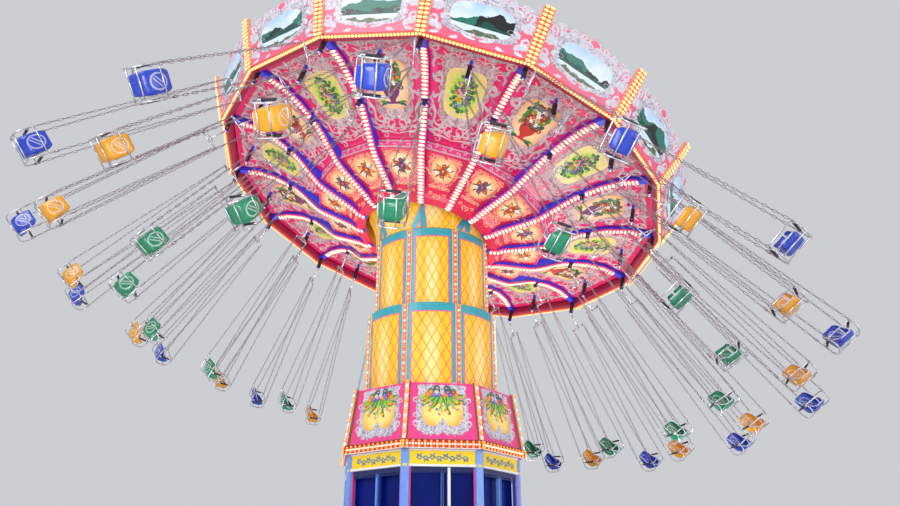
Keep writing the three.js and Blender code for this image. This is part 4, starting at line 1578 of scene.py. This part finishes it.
class RIDE_OT_canopy(bpy.types.Operator):
    """Ribs with lamp strips, the rings' linings, the hangers' cheeks and the lamp line along the rim"""

    bl_idname = "ride.canopy"
    bl_label = "Canopy frame"

    def execute(self, context):
        repaint("head_steel", "tilt_head")
        repaint("rib_blue_paint", "canopy_frame")
        self.ribs()
        self.linings()
        self.hangers()
        self.rim()
        return {"FINISHED"}

    def ribs(self):
        """A lamp strip in two parts under each rib, a gusset between them, and the rib's ends."""
        lengths = sizes()
        boards, runs = Shape(board="rose_border", rib="rib_blue_paint"), []
        inner = [(1.46, -1.03), (1.6, -1.014), (1.72, -0.946), (2.0, -0.862), (2.45, -0.728), (2.62, -0.655),
                 (2.85, -0.5), (3.1, -0.325), (3.3, -0.2), (3.37, -0.175)]
        outer = [(3.53, -0.11), (3.6, -0.083), (3.85, 0.005), (4.1, 0.052), (4.3, 0.088), (4.56, 0.07)]
        path = inner + outer
        gusset = [(2.5, -0.7), (3.24, -0.2), (3.22, -0.17), (2.64, -0.4), (2.5, -0.62)]
        foot = [(1.385, -1.036), (1.385, -1.004), (1.575, -1.0), (1.575, -0.9), (1.69, -0.9), (1.69, -0.96),
                (1.6, -1.008)]
        tail = [(4.58, 0.05), (4.86, 0.03), (4.86, 0.12), (4.58, 0.12)]
        thick = 0.014
        for k in range(BAYS):
            spin, _out, side = axes(CANOPY_TURN + BAY * k)
            stations = [(spin @ Vector((r, 0, h)), spin @ normal_at(path, i), side)
                        for i, (r, h) in enumerate(path)]
            for part in (stations[: len(inner)], stations[len(inner) :]):
                strip(boards, part, lengths.strip_width, thick, "board", 0.006)
                runs.append([(point + facing * thick, facing) for point, facing, _side in part])
            for outline, half_width in ((gusset, 0.056), (foot, 0.06), (tail, 0.06)):
                fin(boards, spin, outline, half_width, "rib")
        dress("rib_lamp_boards", boards, "canopy")
        caps = lengths.cap_width / lengths.cap_radius
        pitch, radius = lengths.cap_pitch, lengths.cap_radius
        lamps("rib_lamps", runs, "canopy", pitch, radius, "rib", caps)

    def linings(self):
        """Linings that cover the hub ring and the rim ring, and the scarlet apron round the hub."""
        shape = Shape(plum="rim_lining_plum", gold="hub_lining_gold", scarlet="ceiling_scarlet",
                      peach="peach_scroll_paint")
        hub = [(1.524, -1.004), (1.574, -1.004), (1.574, -1.0), (1.528, -1.0), (1.528, 0.1), (1.524, 0.1)]
        rim = [(4.84, 0.05), (4.856, -0.024), (4.992, -0.026), (4.992, -0.02), (4.86, -0.02), (4.858, 0.3),
               (4.85, 0.3)]
        apron = [(1.372, -1.016), (1.372, -1.005), (1.574, -1.005), (1.574, -1.016)]
        hoop(shape, hub, "gold")
        hoop(shape, rim, "plum")
        hoop(shape, apron, "scarlet", straight_sides=False)
        panels = Panels([(1.58, -1.0), (1.64, -0.92), (1.76, -0.84)], BAYS, CANOPY_TURN)
        for k in range(BAYS):
            on_side = panels.on(k)
            rows = [(s, panels.half(s) - 0.058) for s in panels.starts]
            patch(shape, on_side, rows, 0.0, 0.012, "scarlet")
            curls = [(0.02, 0.03, 30, 0.2, 300, 0.014), (0.1, 0.12, 60, 0.16, -300, 0.014)]
            scroll_pairs(shape, on_side, curls, 0.006, "peach", 0.012)
        dress("ring_linings", shape, "canopy")

    def hangers(self):
        """Steel cheeks over the lugs that the swings hang from."""
        shape = Shape(dark="hanger_dark_steel", bright="hanger_pin_steel")
        foot, top = -0.27, 0.04
        for _ring, radius, offset, _slot in RINGS:
            for k in range(BAYS):
                spin = turn(CANOPY_TURN + offset + BAY * k)
                for y in (-0.036, 0.036):
                    low, high = (radius - 0.03, y - 0.004, foot), (radius + 0.03, y + 0.004, top)
                    box(shape, low, high, "dark", spin)
                for x in (radius - 0.034, radius + 0.034):
                    box(shape, (x - 0.003, -0.032, foot + 0.015), (x + 0.003, 0.032, top), "dark", spin)
                middle = Vector((radius, 0.065 - HINGE_DEPTH))
                bolt = ring_points(middle, Vector((0.02, 0)), Vector((0, 0.02)), 8)
                fin(shape, spin, bolt, 0.05, "bright")
        dress("swing_hanger_cheeks", shape, "canopy")

    def rim(self):
        """A board and a row of lamps along the rim."""
        shape, runs = Shape(plain="rim_board_orange"), []
        width, thick = 0.082, 0.02
        edge = Panels([(RIM_RADIUS - 0.01, -0.028), (RIM_RADIUS + 0.03, -0.02)], BAYS, CANOPY_TURN)
        for k in range(BAYS):
            on_side = edge.on(k)
            spin, _out, across = axes(edge.middle(k))
            facing = (spin @ Vector((0.3, 0, -1))).normalized()
            half = edge.half(0)
            ends = [on_side(x, 0.0) for x in (-half - 0.02, half + 0.02)]
            lath(shape, *ends, facing, facing.cross(across), width, thick, "plain", 0.016)
            runs.append([(on_side(x, 0.0) + facing * thick, facing) for x in (-half, half)])
        dress("rim_boards", shape, "canopy")
        lamps("rim_lamps", runs, "canopy", 0.066, sizes().cap_radius, "crown", 1.05)


class RIDE_OT_ceiling(bpy.types.Operator):
    """Painted ceiling panels: picture fields, flowers, scrolls and the riser band"""

    bl_idname = "ride.ceiling"
    bl_label = "Ceiling"

    def execute(self, context):
        repaint("ceiling_magenta", "ceiling")
        self.grounds = Shape(
            magenta="ceiling_magenta", scarlet="ceiling_scarlet", edge="panel_edge_rose", riser="riser_rose",
            silver="ceiling_carved_silver", peach="ceiling_carved_peach",
        )
        self.fields = Shape(
            peach="picture_peach", straw="picture_straw", green="leaf_green_paint", dark="deep_green_paint",
            orange="orange_paint", violet="violet_paint", pink="pink_paint", yellow="flower_eye_yellow",
            plum="plum_paint", red="flower_red_paint", umber="umber_paint", white="flower_white_paint",
            lime="lime_paint",
        )
        self.scrolls = Shape(silver="ceiling_scroll_paint", peach="peach_scroll_paint",
                             grey="riser_scroll_grey")
        self.relief = sizes().relief
        profiles = [[(r, h + RIB_DEPTH) for r, h in part] for part in (OUTER_CEILING, INNER_CEILING)]
        outer, inner = (Panels(profile, BAYS, CANOPY_TURN) for profile in profiles)
        riser = Panels([(2.59, -0.59), (2.63, -0.4)], BAYS, CANOPY_TURN)
        for k in range(BAYS):
            self.outer_panel(k, outer)
            self.inner_panel(k, inner)
            self.riser_panel(riser.on(k), riser.half(0.1) - 0.06)
        for name, shape in (
            ("grounds", self.grounds), ("pictures", self.fields), ("scrolls", self.scrolls),
        ):
            dress("ceiling_" + name, shape, "canopy")
        return {"FINISHED"}

    def riser_panel(self, on_side, half):
        """The step between the inner and the outer ceiling."""
        patch(self.grounds, on_side, [(s, half) for s in (0.02, 0.1, 0.18)], 0.0, 0.012, "riser")
        for s, width in ((0.032, 0.016), (0.165, 0.012)):
            stroke(self.scrolls, on_side, [(-half, s), (half, s)], [width] * 2, 0.006, "silver", True, 0.012)
        for i in range(6):
            start, wind = ((i - 2.5) * half / 3.1 - 0.06, 0.1), 300 if i % 2 else -300
            scroll(self.scrolls, on_side, start, 20, 0.19, wind, 0.014, self.relief, "grey", 0.012)

    def outer_panel(self, k, panels):
        """An edged panel with a picture in a carved surround, and a carved band towards the rim."""
        on_side, length = panels.on(k), panels.length
        rib_gap, board, plate = 0.075, 0.004, 0.003
        ends = [0.03, 0.3, 0.95, 1.5, 1.95, length + 0.03]
        rows = at_kinks(panels, [(s, panels.half(s) - rib_gap) for s in ends])
        patch(self.grounds, on_side, rows, 0.0, board, "edge")
        inside = [(s, half - 0.03 - 0.11 * min(1.0, s)) for s, half in rows]
        inside[0] = (rows[0][0] + 0.04, inside[0][1])
        inside[-1] = (rows[-1][0] - 0.035, inside[-1][1])
        patch(self.grounds, on_side, inside, board, plate, "magenta")
        middle, tall, wide = 1.16, 0.52, 0.36
        surround = rounded_rows(middle, tall + 0.2, wide + 0.1, 0.2, 5.0, 30, 0.06)
        patch(self.grounds, on_side, at_kinks(panels, surround), board + plate, plate, "silver")
        start, far = 1.62, length - 0.1
        band = []
        for i in range(31):
            t = i / 30
            s = start + (far - start) * t
            swell = 0.55 + 0.4 * min(1.0, t * 2.6) ** 0.7
            band.append((s, (panels.half(s) - 0.13) * swell * (1 + 0.05 * math.cos(t * 24))))
        patch(self.grounds, on_side, at_kinks(panels, band), board + plate + 0.0002, plate, "silver")
        field = rounded_rows(middle, tall, wide, 0.14, 4.0, 16)
        patch(self.fields, on_side, field, 0.01, 0.004, "straw" if k % 2 else "peach", 6)
        if k % 2:
            blooms = [("plum", "yellow"), ("pink", "yellow"), ("violet", "yellow"), ("plum", "pink"),
                      ("orange", "yellow")]
            reach, greens = (wide * 0.56, tall * 0.74), ("green", "dark", "green", "lime")
            foliage(self.fields, on_side, middle, reach, greens, blooms, 56, self.relief, 0.014)
        else:
            self.urn(on_side, middle, tall, wide, "plum" if k % 4 else "red")
        picture_frame(self.scrolls, on_side, middle, 0.44, 0.66, 0.032, self.relief, 0.01)
        self.ornament(on_side)

    def urn(self, on_side, middle, tall, wide, colour):
        """An urn under a spray of leaves and flowers."""
        fields, relief = self.fields, self.relief
        low, high = middle - tall * 0.78, middle + tall * 0.72
        outline = [(0.0, 0.1), (0.03, 0.11), (0.05, 0.045), (0.1, 0.06), (0.17, 0.13), (0.25, 0.165),
                   (0.32, 0.15), (0.38, 0.1), (0.41, 0.13), (0.43, 0.135)]
        patch(fields, on_side, [(low + s, half) for s, half in outline], 0.014, 0.008, colour)
        scroll_pairs(fields, on_side, [(0.13, low + 0.34, 40, 0.24, -300, 0.018)], relief, colour, 0.02)
        leaf_pairs(fields, on_side, [(0.05, low + 0.02, 10)], 0.24, -60, 0.05, relief, "dark", 0.014)
        leaf_pairs(fields, on_side, [(0.1, low, 40)], 0.2, -60, 0.04, relief, "green", 0.014)
        tips = [(0.04 * i - 0.26, high, 30 + 30 * i) for i in range(4)]
        leaf_pairs(fields, on_side, tips, 0.12, 40, 0.03, relief, "green", 0.014)
        blooms = [("white", "yellow"), ("red", "yellow"), ("orange", "yellow"), ("white", "orange")]
        reach, greens = (wide * 0.62, tall * 0.5), ("umber", "green", "dark", "umber")
        foliage(fields, on_side, middle + 0.16, reach, greens, blooms, 34, relief, 0.02)

    def ornament(self, on_side):
        """Scrolls and swags round the picture and in the corners of the panel."""
        shares = [i / 10 for i in range(11)]
        widths = [0.011 + 0.008 * math.sin(math.pi * t) for t in shares]
        for half in both_ways(on_side):
            for x, s, wide, tall in ((0.2, 1.97, 0.15, 0.1), (0.58, 1.97, 0.15, 0.11),
                                     (0.55, 1.74, 0.07, 0.07), (0.02, 1.78, 0.06, 0.05)):
                rows = rounded_rows(0.0, tall, wide, 0.0, 1.6, 10, 0.14)
                patch(self.grounds, shifted(half, x, s), rows, 0.0102, 0.002, "magenta")
            for depth in (0.14, 0.24):
                swag = [(0.58 * t, depth + 0.2 * t ** 2 + 0.02 * math.sin(math.pi * 2 * t)) for t in shares]
                stroke(self.scrolls, half, swag, widths, self.relief, "silver", lift=0.008)
        scroll_pairs(self.scrolls, on_side, [
            (0.03, 1.88, 75, 0.4, -330, 0.024), (0.04, 2.13, 5, 0.5, -290, 0.022),
            (0.8, 2.12, 175, 0.44, 300, 0.024), (0.8, 2.02, 240, 0.36, -300, 0.022),
            (0.4, 1.84, 80, 0.36, 310, 0.022), (0.66, 1.55, 70, 0.5, 300, 0.026),
            (0.64, 1.42, 262, 0.46, -310, 0.026), (0.56, 1.05, 262, 0.4, 300, 0.024),
            (0.52, 0.78, 80, 0.36, -300, 0.022), (0.03, 0.5, -50, 0.42, 330, 0.022),
            (0.03, 0.2, 12, 0.5, 290, 0.02), (0.44, 0.5, 250, 0.42, -320, 0.022),
            (0.16, 0.36, 10, 0.34, -300, 0.018), (0.36, 0.16, 160, 0.3, 300, 0.018),
        ], self.relief, "silver", 0.01)
        leaves = [(0.3, 0.3, -30), (0.66, 1.76, 60), (0.76, 1.94, 60), (0.38, 2.02, 80), (0.6, 1.3, 100),
                  (0.54, 0.9, 110), (0.42, 0.36, 20), (0.06, 0.36, -70)]
        leaf_pairs(self.scrolls, on_side, leaves, 0.19, 40, 0.034, self.relief, "silver", 0.01)

    def inner_panel(self, k, panels):
        """A scarlet panel with a bouquet in a carved surround."""
        on_side, length = panels.on(k), panels.length
        rib_gap, board, plate, middle = 0.07, 0.004, 0.003, 0.66
        rows = [(s, panels.half(s) - rib_gap) for s in (0.05, length / 2, length - 0.03)]
        patch(self.grounds, on_side, rows, 0.0, board, "scarlet")
        for rows, lift in (
            (rounded_rows(0.2, 0.15, 0.17, 0.15, 3.0, 14, 0.05), board),
            (rounded_rows(middle, 0.36, 0.3, 0.2, 4.0, 24, 0.05), board + 0.0002),
        ):
            patch(self.grounds, on_side, rows, lift, plate, "peach")
        field = rounded_rows(middle, 0.28, 0.235, 0.16, 3.4, 12)
        patch(self.fields, on_side, field, board + plate + 0.0002, 0.004, "peach", 6)
        if k % 2:
            first, second = ("red", "yellow"), ("orange", "yellow")
        else:
            first, second = ("plum", "orange"), ("red", "yellow")
        blooms = [first, second, ("white", "red"), first, second, ("white", "orange"), first]
        greens = ("umber", "green", "dark")
        bouquet(self.fields, on_side, (0, middle), 0.25, greens, blooms, self.relief, 0.011)
        scroll_pairs(self.scrolls, on_side, [
            (0.02, 0.36, 10, 0.36, 300, 0.018), (0.26, 0.5, 80, 0.4, -300, 0.018),
            (0.31, 0.74, 85, 0.34, 300, 0.016), (0.03, 0.96, 0, 0.4, -300, 0.018),
            (0.03, 0.14, 30, 0.26, 300, 0.018), (0.03, 0.26, -10, 0.28, -300, 0.018),
            (0.12, 0.2, 70, 0.2, -300, 0.016), (0.34, 0.92, 200, 0.24, -300, 0.014),
        ], self.relief, "peach", 0.006)


class RIDE_OT_crown(bpy.types.Operator):
    """Crown boards with a wavy top, landscape fields, scroll frames, corner lamp boards and the roof"""

    bl_idname = "ride.crown"
    bl_label = "Crown and roof"

    def execute(self, context):
        relief = sizes().relief
        panels = Panels(CROWN_OUTSIDE, BAYS, CANOPY_TURN)
        boards = Shape(blush="crown_blush_paint", batten="crown_batten_cream")
        scrolls = Shape(silver="silver_scroll_paint")
        fields, grounds = Shape(plain="landscape_paint"), Shape(plain="silver_carved_ground")
        half = panels.half(0.4)
        surround = at_kinks(panels, rounded_rows(0.5, 0.36, half * 0.7, 0.04, 5.0, 30, 0.05))
        field = at_kinks(panels, rounded_rows(0.46, 0.285, half * 0.56, 0.02, 3.4, 14))
        for k in range(BAYS):
            on_side = panels.on(k)
            self.board(boards, on_side, panels)
            self.battens(boards, on_side, panels)
            patch(grounds, on_side, surround, 0.0, 0.004, "plain")
            patch(fields, on_side, field, 0.004, 0.006, "plain", 6)
            picture_frame(scrolls, on_side, 0.46, half * 0.69, 0.35, 0.034, relief, 0.004)
            self.crest(scrolls, on_side, panels, relief)
        dress("crown_boards", boards, "canopy", ["crown"])
        dress("crown_pictures", fields, "canopy")
        dress("crown_scrolls", scrolls, "canopy")
        dress("crown_grounds", grounds, "canopy")
        self.corners()
        self.roof()
        return {"FINISHED"}

    def top(self, t, panels):
        """How far the board reaches at a share of its half width."""
        swell = 0.5 + 0.5 * math.cos(math.pi * t)
        ripple = 0.028 * math.cos(7 * math.pi * t)
        return panels.length - 0.245 + 0.2 * swell + ripple * (0.4 + 0.6 * swell)

    def board(self, shape, on_side, panels):
        """A board that bends where its profile does and ends in a wavy line."""
        kink = panels.starts[1]
        columns = 40
        rings = []
        for i in range(columns + 1):
            t = 2 * i / columns - 1
            top = self.top(t, panels)
            stops = [0.0, kink * 0.5, min(kink, top - 0.01), top]
            outer = [on_side(t * panels.half(s) * 0.998, s) for s in stops]
            rings.append(outer + [on_side(t * panels.half(s) * 0.99, s, -0.03) for s in reversed(stops)])
        shape.loft(rings, "blush")

    def battens(self, shape, on_side, panels):
        """A rail and uprights along the back of a board, over the edge of the roof."""
        thick, behind = 0.022, -0.05
        across = panels.half(0.7) * 0.97
        stroke(shape, on_side, [(-across, 0.7), (across, 0.7)], [0.024] * 2, thick, "batten", True, behind)
        for t in (-0.86, -0.44, 0.0, 0.44, 0.86):
            x, end = t * panels.half(0.8), self.top(t, panels) - 0.03
            stroke(shape, on_side, [(x, 0.6), (x, end)], [0.02] * 2, thick, "batten", True, behind)

    def crest(self, shape, on_side, panels, relief):
        """Scrolls and leaves round the edge of a board, and a rope along its top."""
        width = 0.034
        scroll_pairs(shape, on_side, [
            (0.03, 0.86, 20, 0.5, -310, width), (0.36, 0.82, 30, 0.42, -300, width),
            (0.62, 0.76, 15, 0.36, 300, width), (0.88, 0.16, 165, 0.4, -300, width),
            (0.9, 0.6, 265, 0.36, -300, width), (0.88, 0.44, 95, 0.32, 300, width),
            (0.3, 0.9, 190, 0.3, 300, width), (0.55, 0.84, 190, 0.3, -300, width),
            (0.76, 0.66, 100, 0.34, -310, width), (0.9, 0.72, 200, 0.32, 300, width),
            (0.2, 0.84, 10, 0.3, 300, width),
        ], relief, "silver", 0.0)
        leaves = [(0.12, 0.85, 80), (0.3, 0.83, 60), (0.48, 0.77, 70), (0.66, 0.71, 60), (0.84, 0.65, 70),
                  (0.84, 0.21, 40), (0.88, 0.47, 150), (0.7, 0.13, 20)]
        leaf_pairs(shape, on_side, leaves, 0.15, 30, 0.03, relief, "silver", 0.0)
        rope = []
        for i in range(23):
            t = 0.93 * i / 22
            s = self.top(t, panels) - 0.022
            rope.append((t * panels.half(s), s))
        for half in both_ways(on_side):
            stroke(shape, half, rope, [0.016] * len(rope), relief, "silver")

    def corners(self):
        """Boards with two rows of lamps over the joints between the crown's boards."""
        boards, runs = Shape(coral="crown_board_coral", salmon="crown_board_salmon"), []
        width, thick, sunk = 0.21, 0.026, 0.03
        path = [(r - 0.014, h) for r, h in CROWN_OUTSIDE[:2] + [(5.488, 0.892)]]
        for k in range(BAYS):
            spin, _out, side = axes(CANOPY_TURN + BAY * k)
            stations = [(spin @ Vector((r, 0, h)), spin @ normal_at(CROWN_OUTSIDE, i), side)
                        for i, (r, h) in enumerate(path)]
            strip(boards, stations, width, thick, "coral", sunk)
            for shift in (-0.106, 0.106):
                edge = [(point + side * shift, facing, side) for point, facing, _side in stations]
                strip(boards, edge, 0.016, thick + 0.008, "salmon", sunk)
            for shift in (-0.05, 0.05):
                line = side * shift
                runs.append([(point + line + facing * thick, facing) for point, facing, _side in stations])
        dress("crown_corner_boards", boards, "canopy")
        pitch, radius = sizes().cap_pitch, sizes().cap_radius
        lamps("crown_corner_lamps", runs, "canopy", pitch, radius, "crown", 1.62)

    def roof(self):
        """A conical sheet that sags a little between its sixteen ridges, with a ball on top."""
        shape = Shape(canvas="roof_canvas_rose", cream="cream_board")
        edge, low = ROOF_EDGE
        thick, deepest_sag = 0.02, 0.05
        rings = []
        for k in range(BAYS * 4):
            spin = turn(CANOPY_TURN + BAY * k / 4)
            sag = deepest_sag * math.sin(math.pi * (k % 4) / 4)
            under = []
            for share in (0.03, 0.25, 0.5, 0.75, 1.0):
                height = ROOF_APEX + (low - ROOF_APEX) * share - sag * math.sin(math.pi * share)
                under.append(spin @ Vector((edge * share * side_share(k), 0, height)))
            rings.append([p + UP * thick for p in under] + under[::-1])
        shape.loft(rings, "canvas", closed=True)
        for k in range(BAYS):
            spin = turn(CANOPY_TURN + BAY * k)
            path = [spin @ Vector((edge * share, 0, ROOF_APEX + (low - ROOF_APEX) * share + 0.03))
                    for share in (0.02, 0.5, 0.99)]
            tube(shape, path, 0.022, 6, "cream")
        knob(shape, (0, 0, ROOF_APEX + 0.01), 0.2, 16, "cream")
        dress("roof", shape, "canopy")


# The middle of a seat's shell from its front edge to the top of its back: ahead, up from the seat,
# how far its sides rise, half its width
SHELL_STATIONS = [
    (0.168, -0.088, 0.045, 0.112), (0.150, -0.112, 0.085, 0.132), (0.105, -0.132, 0.130, 0.145),
    (0.04, -0.143, 0.155, 0.152), (-0.04, -0.145, 0.17, 0.156), (-0.105, -0.132, 0.18, 0.159),
    (-0.152, -0.098, 0.185, 0.161), (-0.180, -0.045, 0.18, 0.162), (-0.194, 0.02, 0.155, 0.162),
    (-0.201, 0.09, 0.125, 0.161), (-0.206, 0.16, 0.095, 0.158), (-0.210, 0.215, 0.06, 0.148),
    (-0.212, 0.252, 0.03, 0.122),
]
# Half a cross-section of the shell: across as a share of its half width, up as a share of its sides
SHELL_SECTION = [(-1, 1.0), (-1, 0.66), (-1, 0.32), (-0.95, 0.12), (-0.82, 0.03), (-0.45, 0.0)]


def seat_shell(shape, seat):
    """A moulded bucket with a thick rounded edge, round a middle at the seat's height."""
    wall = 0.012
    section = SHELL_SECTION + [(0, 0.0)] + [(-x, n) for x, n in reversed(SHELL_SECTION)]
    rings, marks, left, right = [], [], [], []
    for i, (x, z, wing, half) in enumerate(SHELL_STATIONS):
        inward = normal_at(SHELL_STATIONS, i)
        base = Vector((x, 0, seat + z))
        outer = [base + Vector((0, y * half, 0)) + inward * (n * wing) for y, n in section]
        lining = [base + Vector((0, y * (half - wall), 0)) + inward * (wall + n * (wing - wall))
                  for y, n in section]
        rings.append(outer + lining[::-1])
        around = [(y, i / (len(SHELL_STATIONS) - 1)) for y, _n in section]
        marks.append(around + around[::-1])
        left.append(outer[0] + Vector((0, wall / 2, 0)))
        right.append(outer[-1] - Vector((0, wall / 2, 0)))
    shape.loft(rings, "shell", marks)
    front = [(0.17, y, seat - 0.086) for y in (-0.085, 0.0, 0.085)]
    back = [(-0.2, y, seat + 0.258) for y in (0.09, 0.0, -0.09)]
    tube(shape, left[::-1] + front + right + back, 0.0105, 6, "edge", closed=True)


def seat_shape(shell):
    """A bucket between tubular side frames, with its hanging irons, in the swing's own frame."""
    shape = Shape(shell=shell, edge="seat_edge_white", rail="seat_rail_chrome", pad="arm_pad_black")
    seat = -SWING_LENGTH
    seat_shell(shape, seat)
    lap = seat + 0.047
    right = [(-0.211, SEAT_RAIL, lap), (0.12, SEAT_RAIL, lap), (0.168, 0.218, lap), (0.187, 0.17, lap)]
    tube(shape, [(x, -y, z) for x, y, z in right] + right[::-1], 0.013, 6, "rail")
    tube(shape, [(0.165, 0, seat - 0.09), (0.186, 0, seat - 0.03), (0.188, 0, lap)], 0.011, 6, "edge")
    frame = [(-0.209, 1, 0.262), (-0.212, 1, 0.1), (-0.206, 1, -0.06), (-0.166, 0.98, -0.138),
             (-0.1, 0.97, -0.162), (0.08, 0.97, -0.162), (0.15, 0.98, -0.13), (0.178, 1, -0.06),
             (0.174, 1, 0.05)]
    for side in (-1, 1):
        y = side * SEAT_RAIL
        tube(shape, [(x, y * share, seat + z) for x, share, z in frame], 0.0125, 6, "rail")
        tube(shape, [(-0.13, y, lap + 0.004), (0.09, y, lap + 0.004)], 0.021, 8, "pad")
        tube(shape, [(0.0, side * 0.02, -0.34), (0.0, y, -0.41)], 0.011, 5, "rail")
        box(shape, (-0.018, y - 0.012, -0.44), (0.018, y + 0.012, -0.4), "rail")
        for x, z in CHAIN_FEET:
            low, high = seat + z - 0.02, seat + z + 0.035
            box(shape, (x - 0.014, y - 0.008, low), (x + 0.014, y + 0.008, high), "rail")
    for x, z in ((-0.09, -0.162), (0.08, -0.162), (-0.213, 0.13)):
        tube(shape, [(x, -0.226, seat + z), (x, 0.226, seat + z)], 0.011, 6, "rail")
    tube(shape, [(0, -0.243, -SPREADER_DEPTH), (0, 0.243, -SPREADER_DEPTH)], 0.016, 8, "rail")
    tube(shape, [(0, 0, 0.02), (0, 0, -SPREADER_DEPTH)], 0.016, 8, "rail")
    tube(shape, [(0, -0.03, 0.0), (0, 0.03, 0.0)], 0.026, 10, "rail")
    return shape


class RIDE_OT_swings(bpy.types.Operator):
    """48 seats on chains in three rings"""

    bl_idname = "ride.swings"
    bl_label = "Swings"

    def execute(self, context):
        lengths = sizes()
        top = -SPREADER_DEPTH - 0.01
        runs = [[((0, y, top), UP), ((x, y, z - SWING_LENGTH), UP)]
                for x, z in CHAIN_FEET for y in (-SEAT_RAIL, SEAT_RAIL)]
        (metal,) = paints("chain_steel")
        values = {"Pitch": lengths.link_pitch, "Link Length": lengths.link_pitch * 1.2,
                  "Wire": lengths.link_wire, "Metal": metal}
        chains = grown("chain_links", chain_tree, values, runs)
        for ring, radius, offset, slot in RINGS:
            seat = seat_shape(slot + "_shell").mesh(ring + "_seat", smooth=True)
            whole = joined(ring + "_swing", [seat, chains])
            for i in range(BAYS):
                node = f"swing_{ring}_{i + 1:02d}"
                mesh = whole.copy()
                mesh.transform(swing_place(CANOPY_TURN + offset + BAY * i, radius))
                put("ride_" + node, mesh, node, [node])
        return {"FINISHED"}


def joined(name, meshes):
    """One mesh of several, with all their finishes."""
    made = bpy.data.meshes.new(name)
    work = bmesh.new()
    for mesh in meshes:
        first = len(made.materials)
        for material in mesh.materials:
            made.materials.append(material)
        start = len(work.faces)
        work.from_mesh(mesh)
        work.faces.ensure_lookup_table()
        for face in work.faces[start:]:
            face.material_index += first
    work.to_mesh(made)
    work.free()
    return made


class RIDE_PT_panel(bpy.types.Panel):
    """The ride's pieces, sizes and colours"""

    bl_label = "Swing ride"
    bl_idname = "RIDE_PT_panel"
    bl_space_type = "VIEW_3D"
    bl_region_type = "UI"
    bl_category = "Swing ride"

    def draw(self, context):
        layout = self.layout
        for operator in PIECE_OPERATORS:
            layout.operator(operator.bl_idname)
        for group in (context.scene.ride_sizes, context.scene.ride_colours):
            box_layout = layout.box()
            for key in group.__annotations__:
                box_layout.prop(group, key)


PIECE_OPERATORS = (
    RIDE_OT_stage, RIDE_OT_deck, RIDE_OT_booth, RIDE_OT_skirt, RIDE_OT_tower, RIDE_OT_canopy,
    RIDE_OT_ceiling, RIDE_OT_crown, RIDE_OT_swings,
)
CLASSES = (RideSizes, RideColours, *PIECE_OPERATORS, RIDE_PT_panel)


def register():
    for one in CLASSES:
        bpy.utils.register_class(one)
    bpy.types.Scene.ride_sizes = PointerProperty(type=RideSizes)
    bpy.types.Scene.ride_colours = PointerProperty(type=RideColours)


def unregister():
    del bpy.types.Scene.ride_colours
    del bpy.types.Scene.ride_sizes
    for one in reversed(CLASSES):
        bpy.utils.unregister_class(one)


def main():
    register()
    bpy.ops.ride.stage()
    bpy.ops.ride.deck()
    bpy.ops.ride.booth()
    bpy.ops.ride.skirt()
    bpy.ops.ride.tower()
    bpy.ops.ride.canopy()
    bpy.ops.ride.ceiling()
    bpy.ops.ride.crown()
    bpy.ops.ride.swings()


if __name__ == "__main__":
    main()
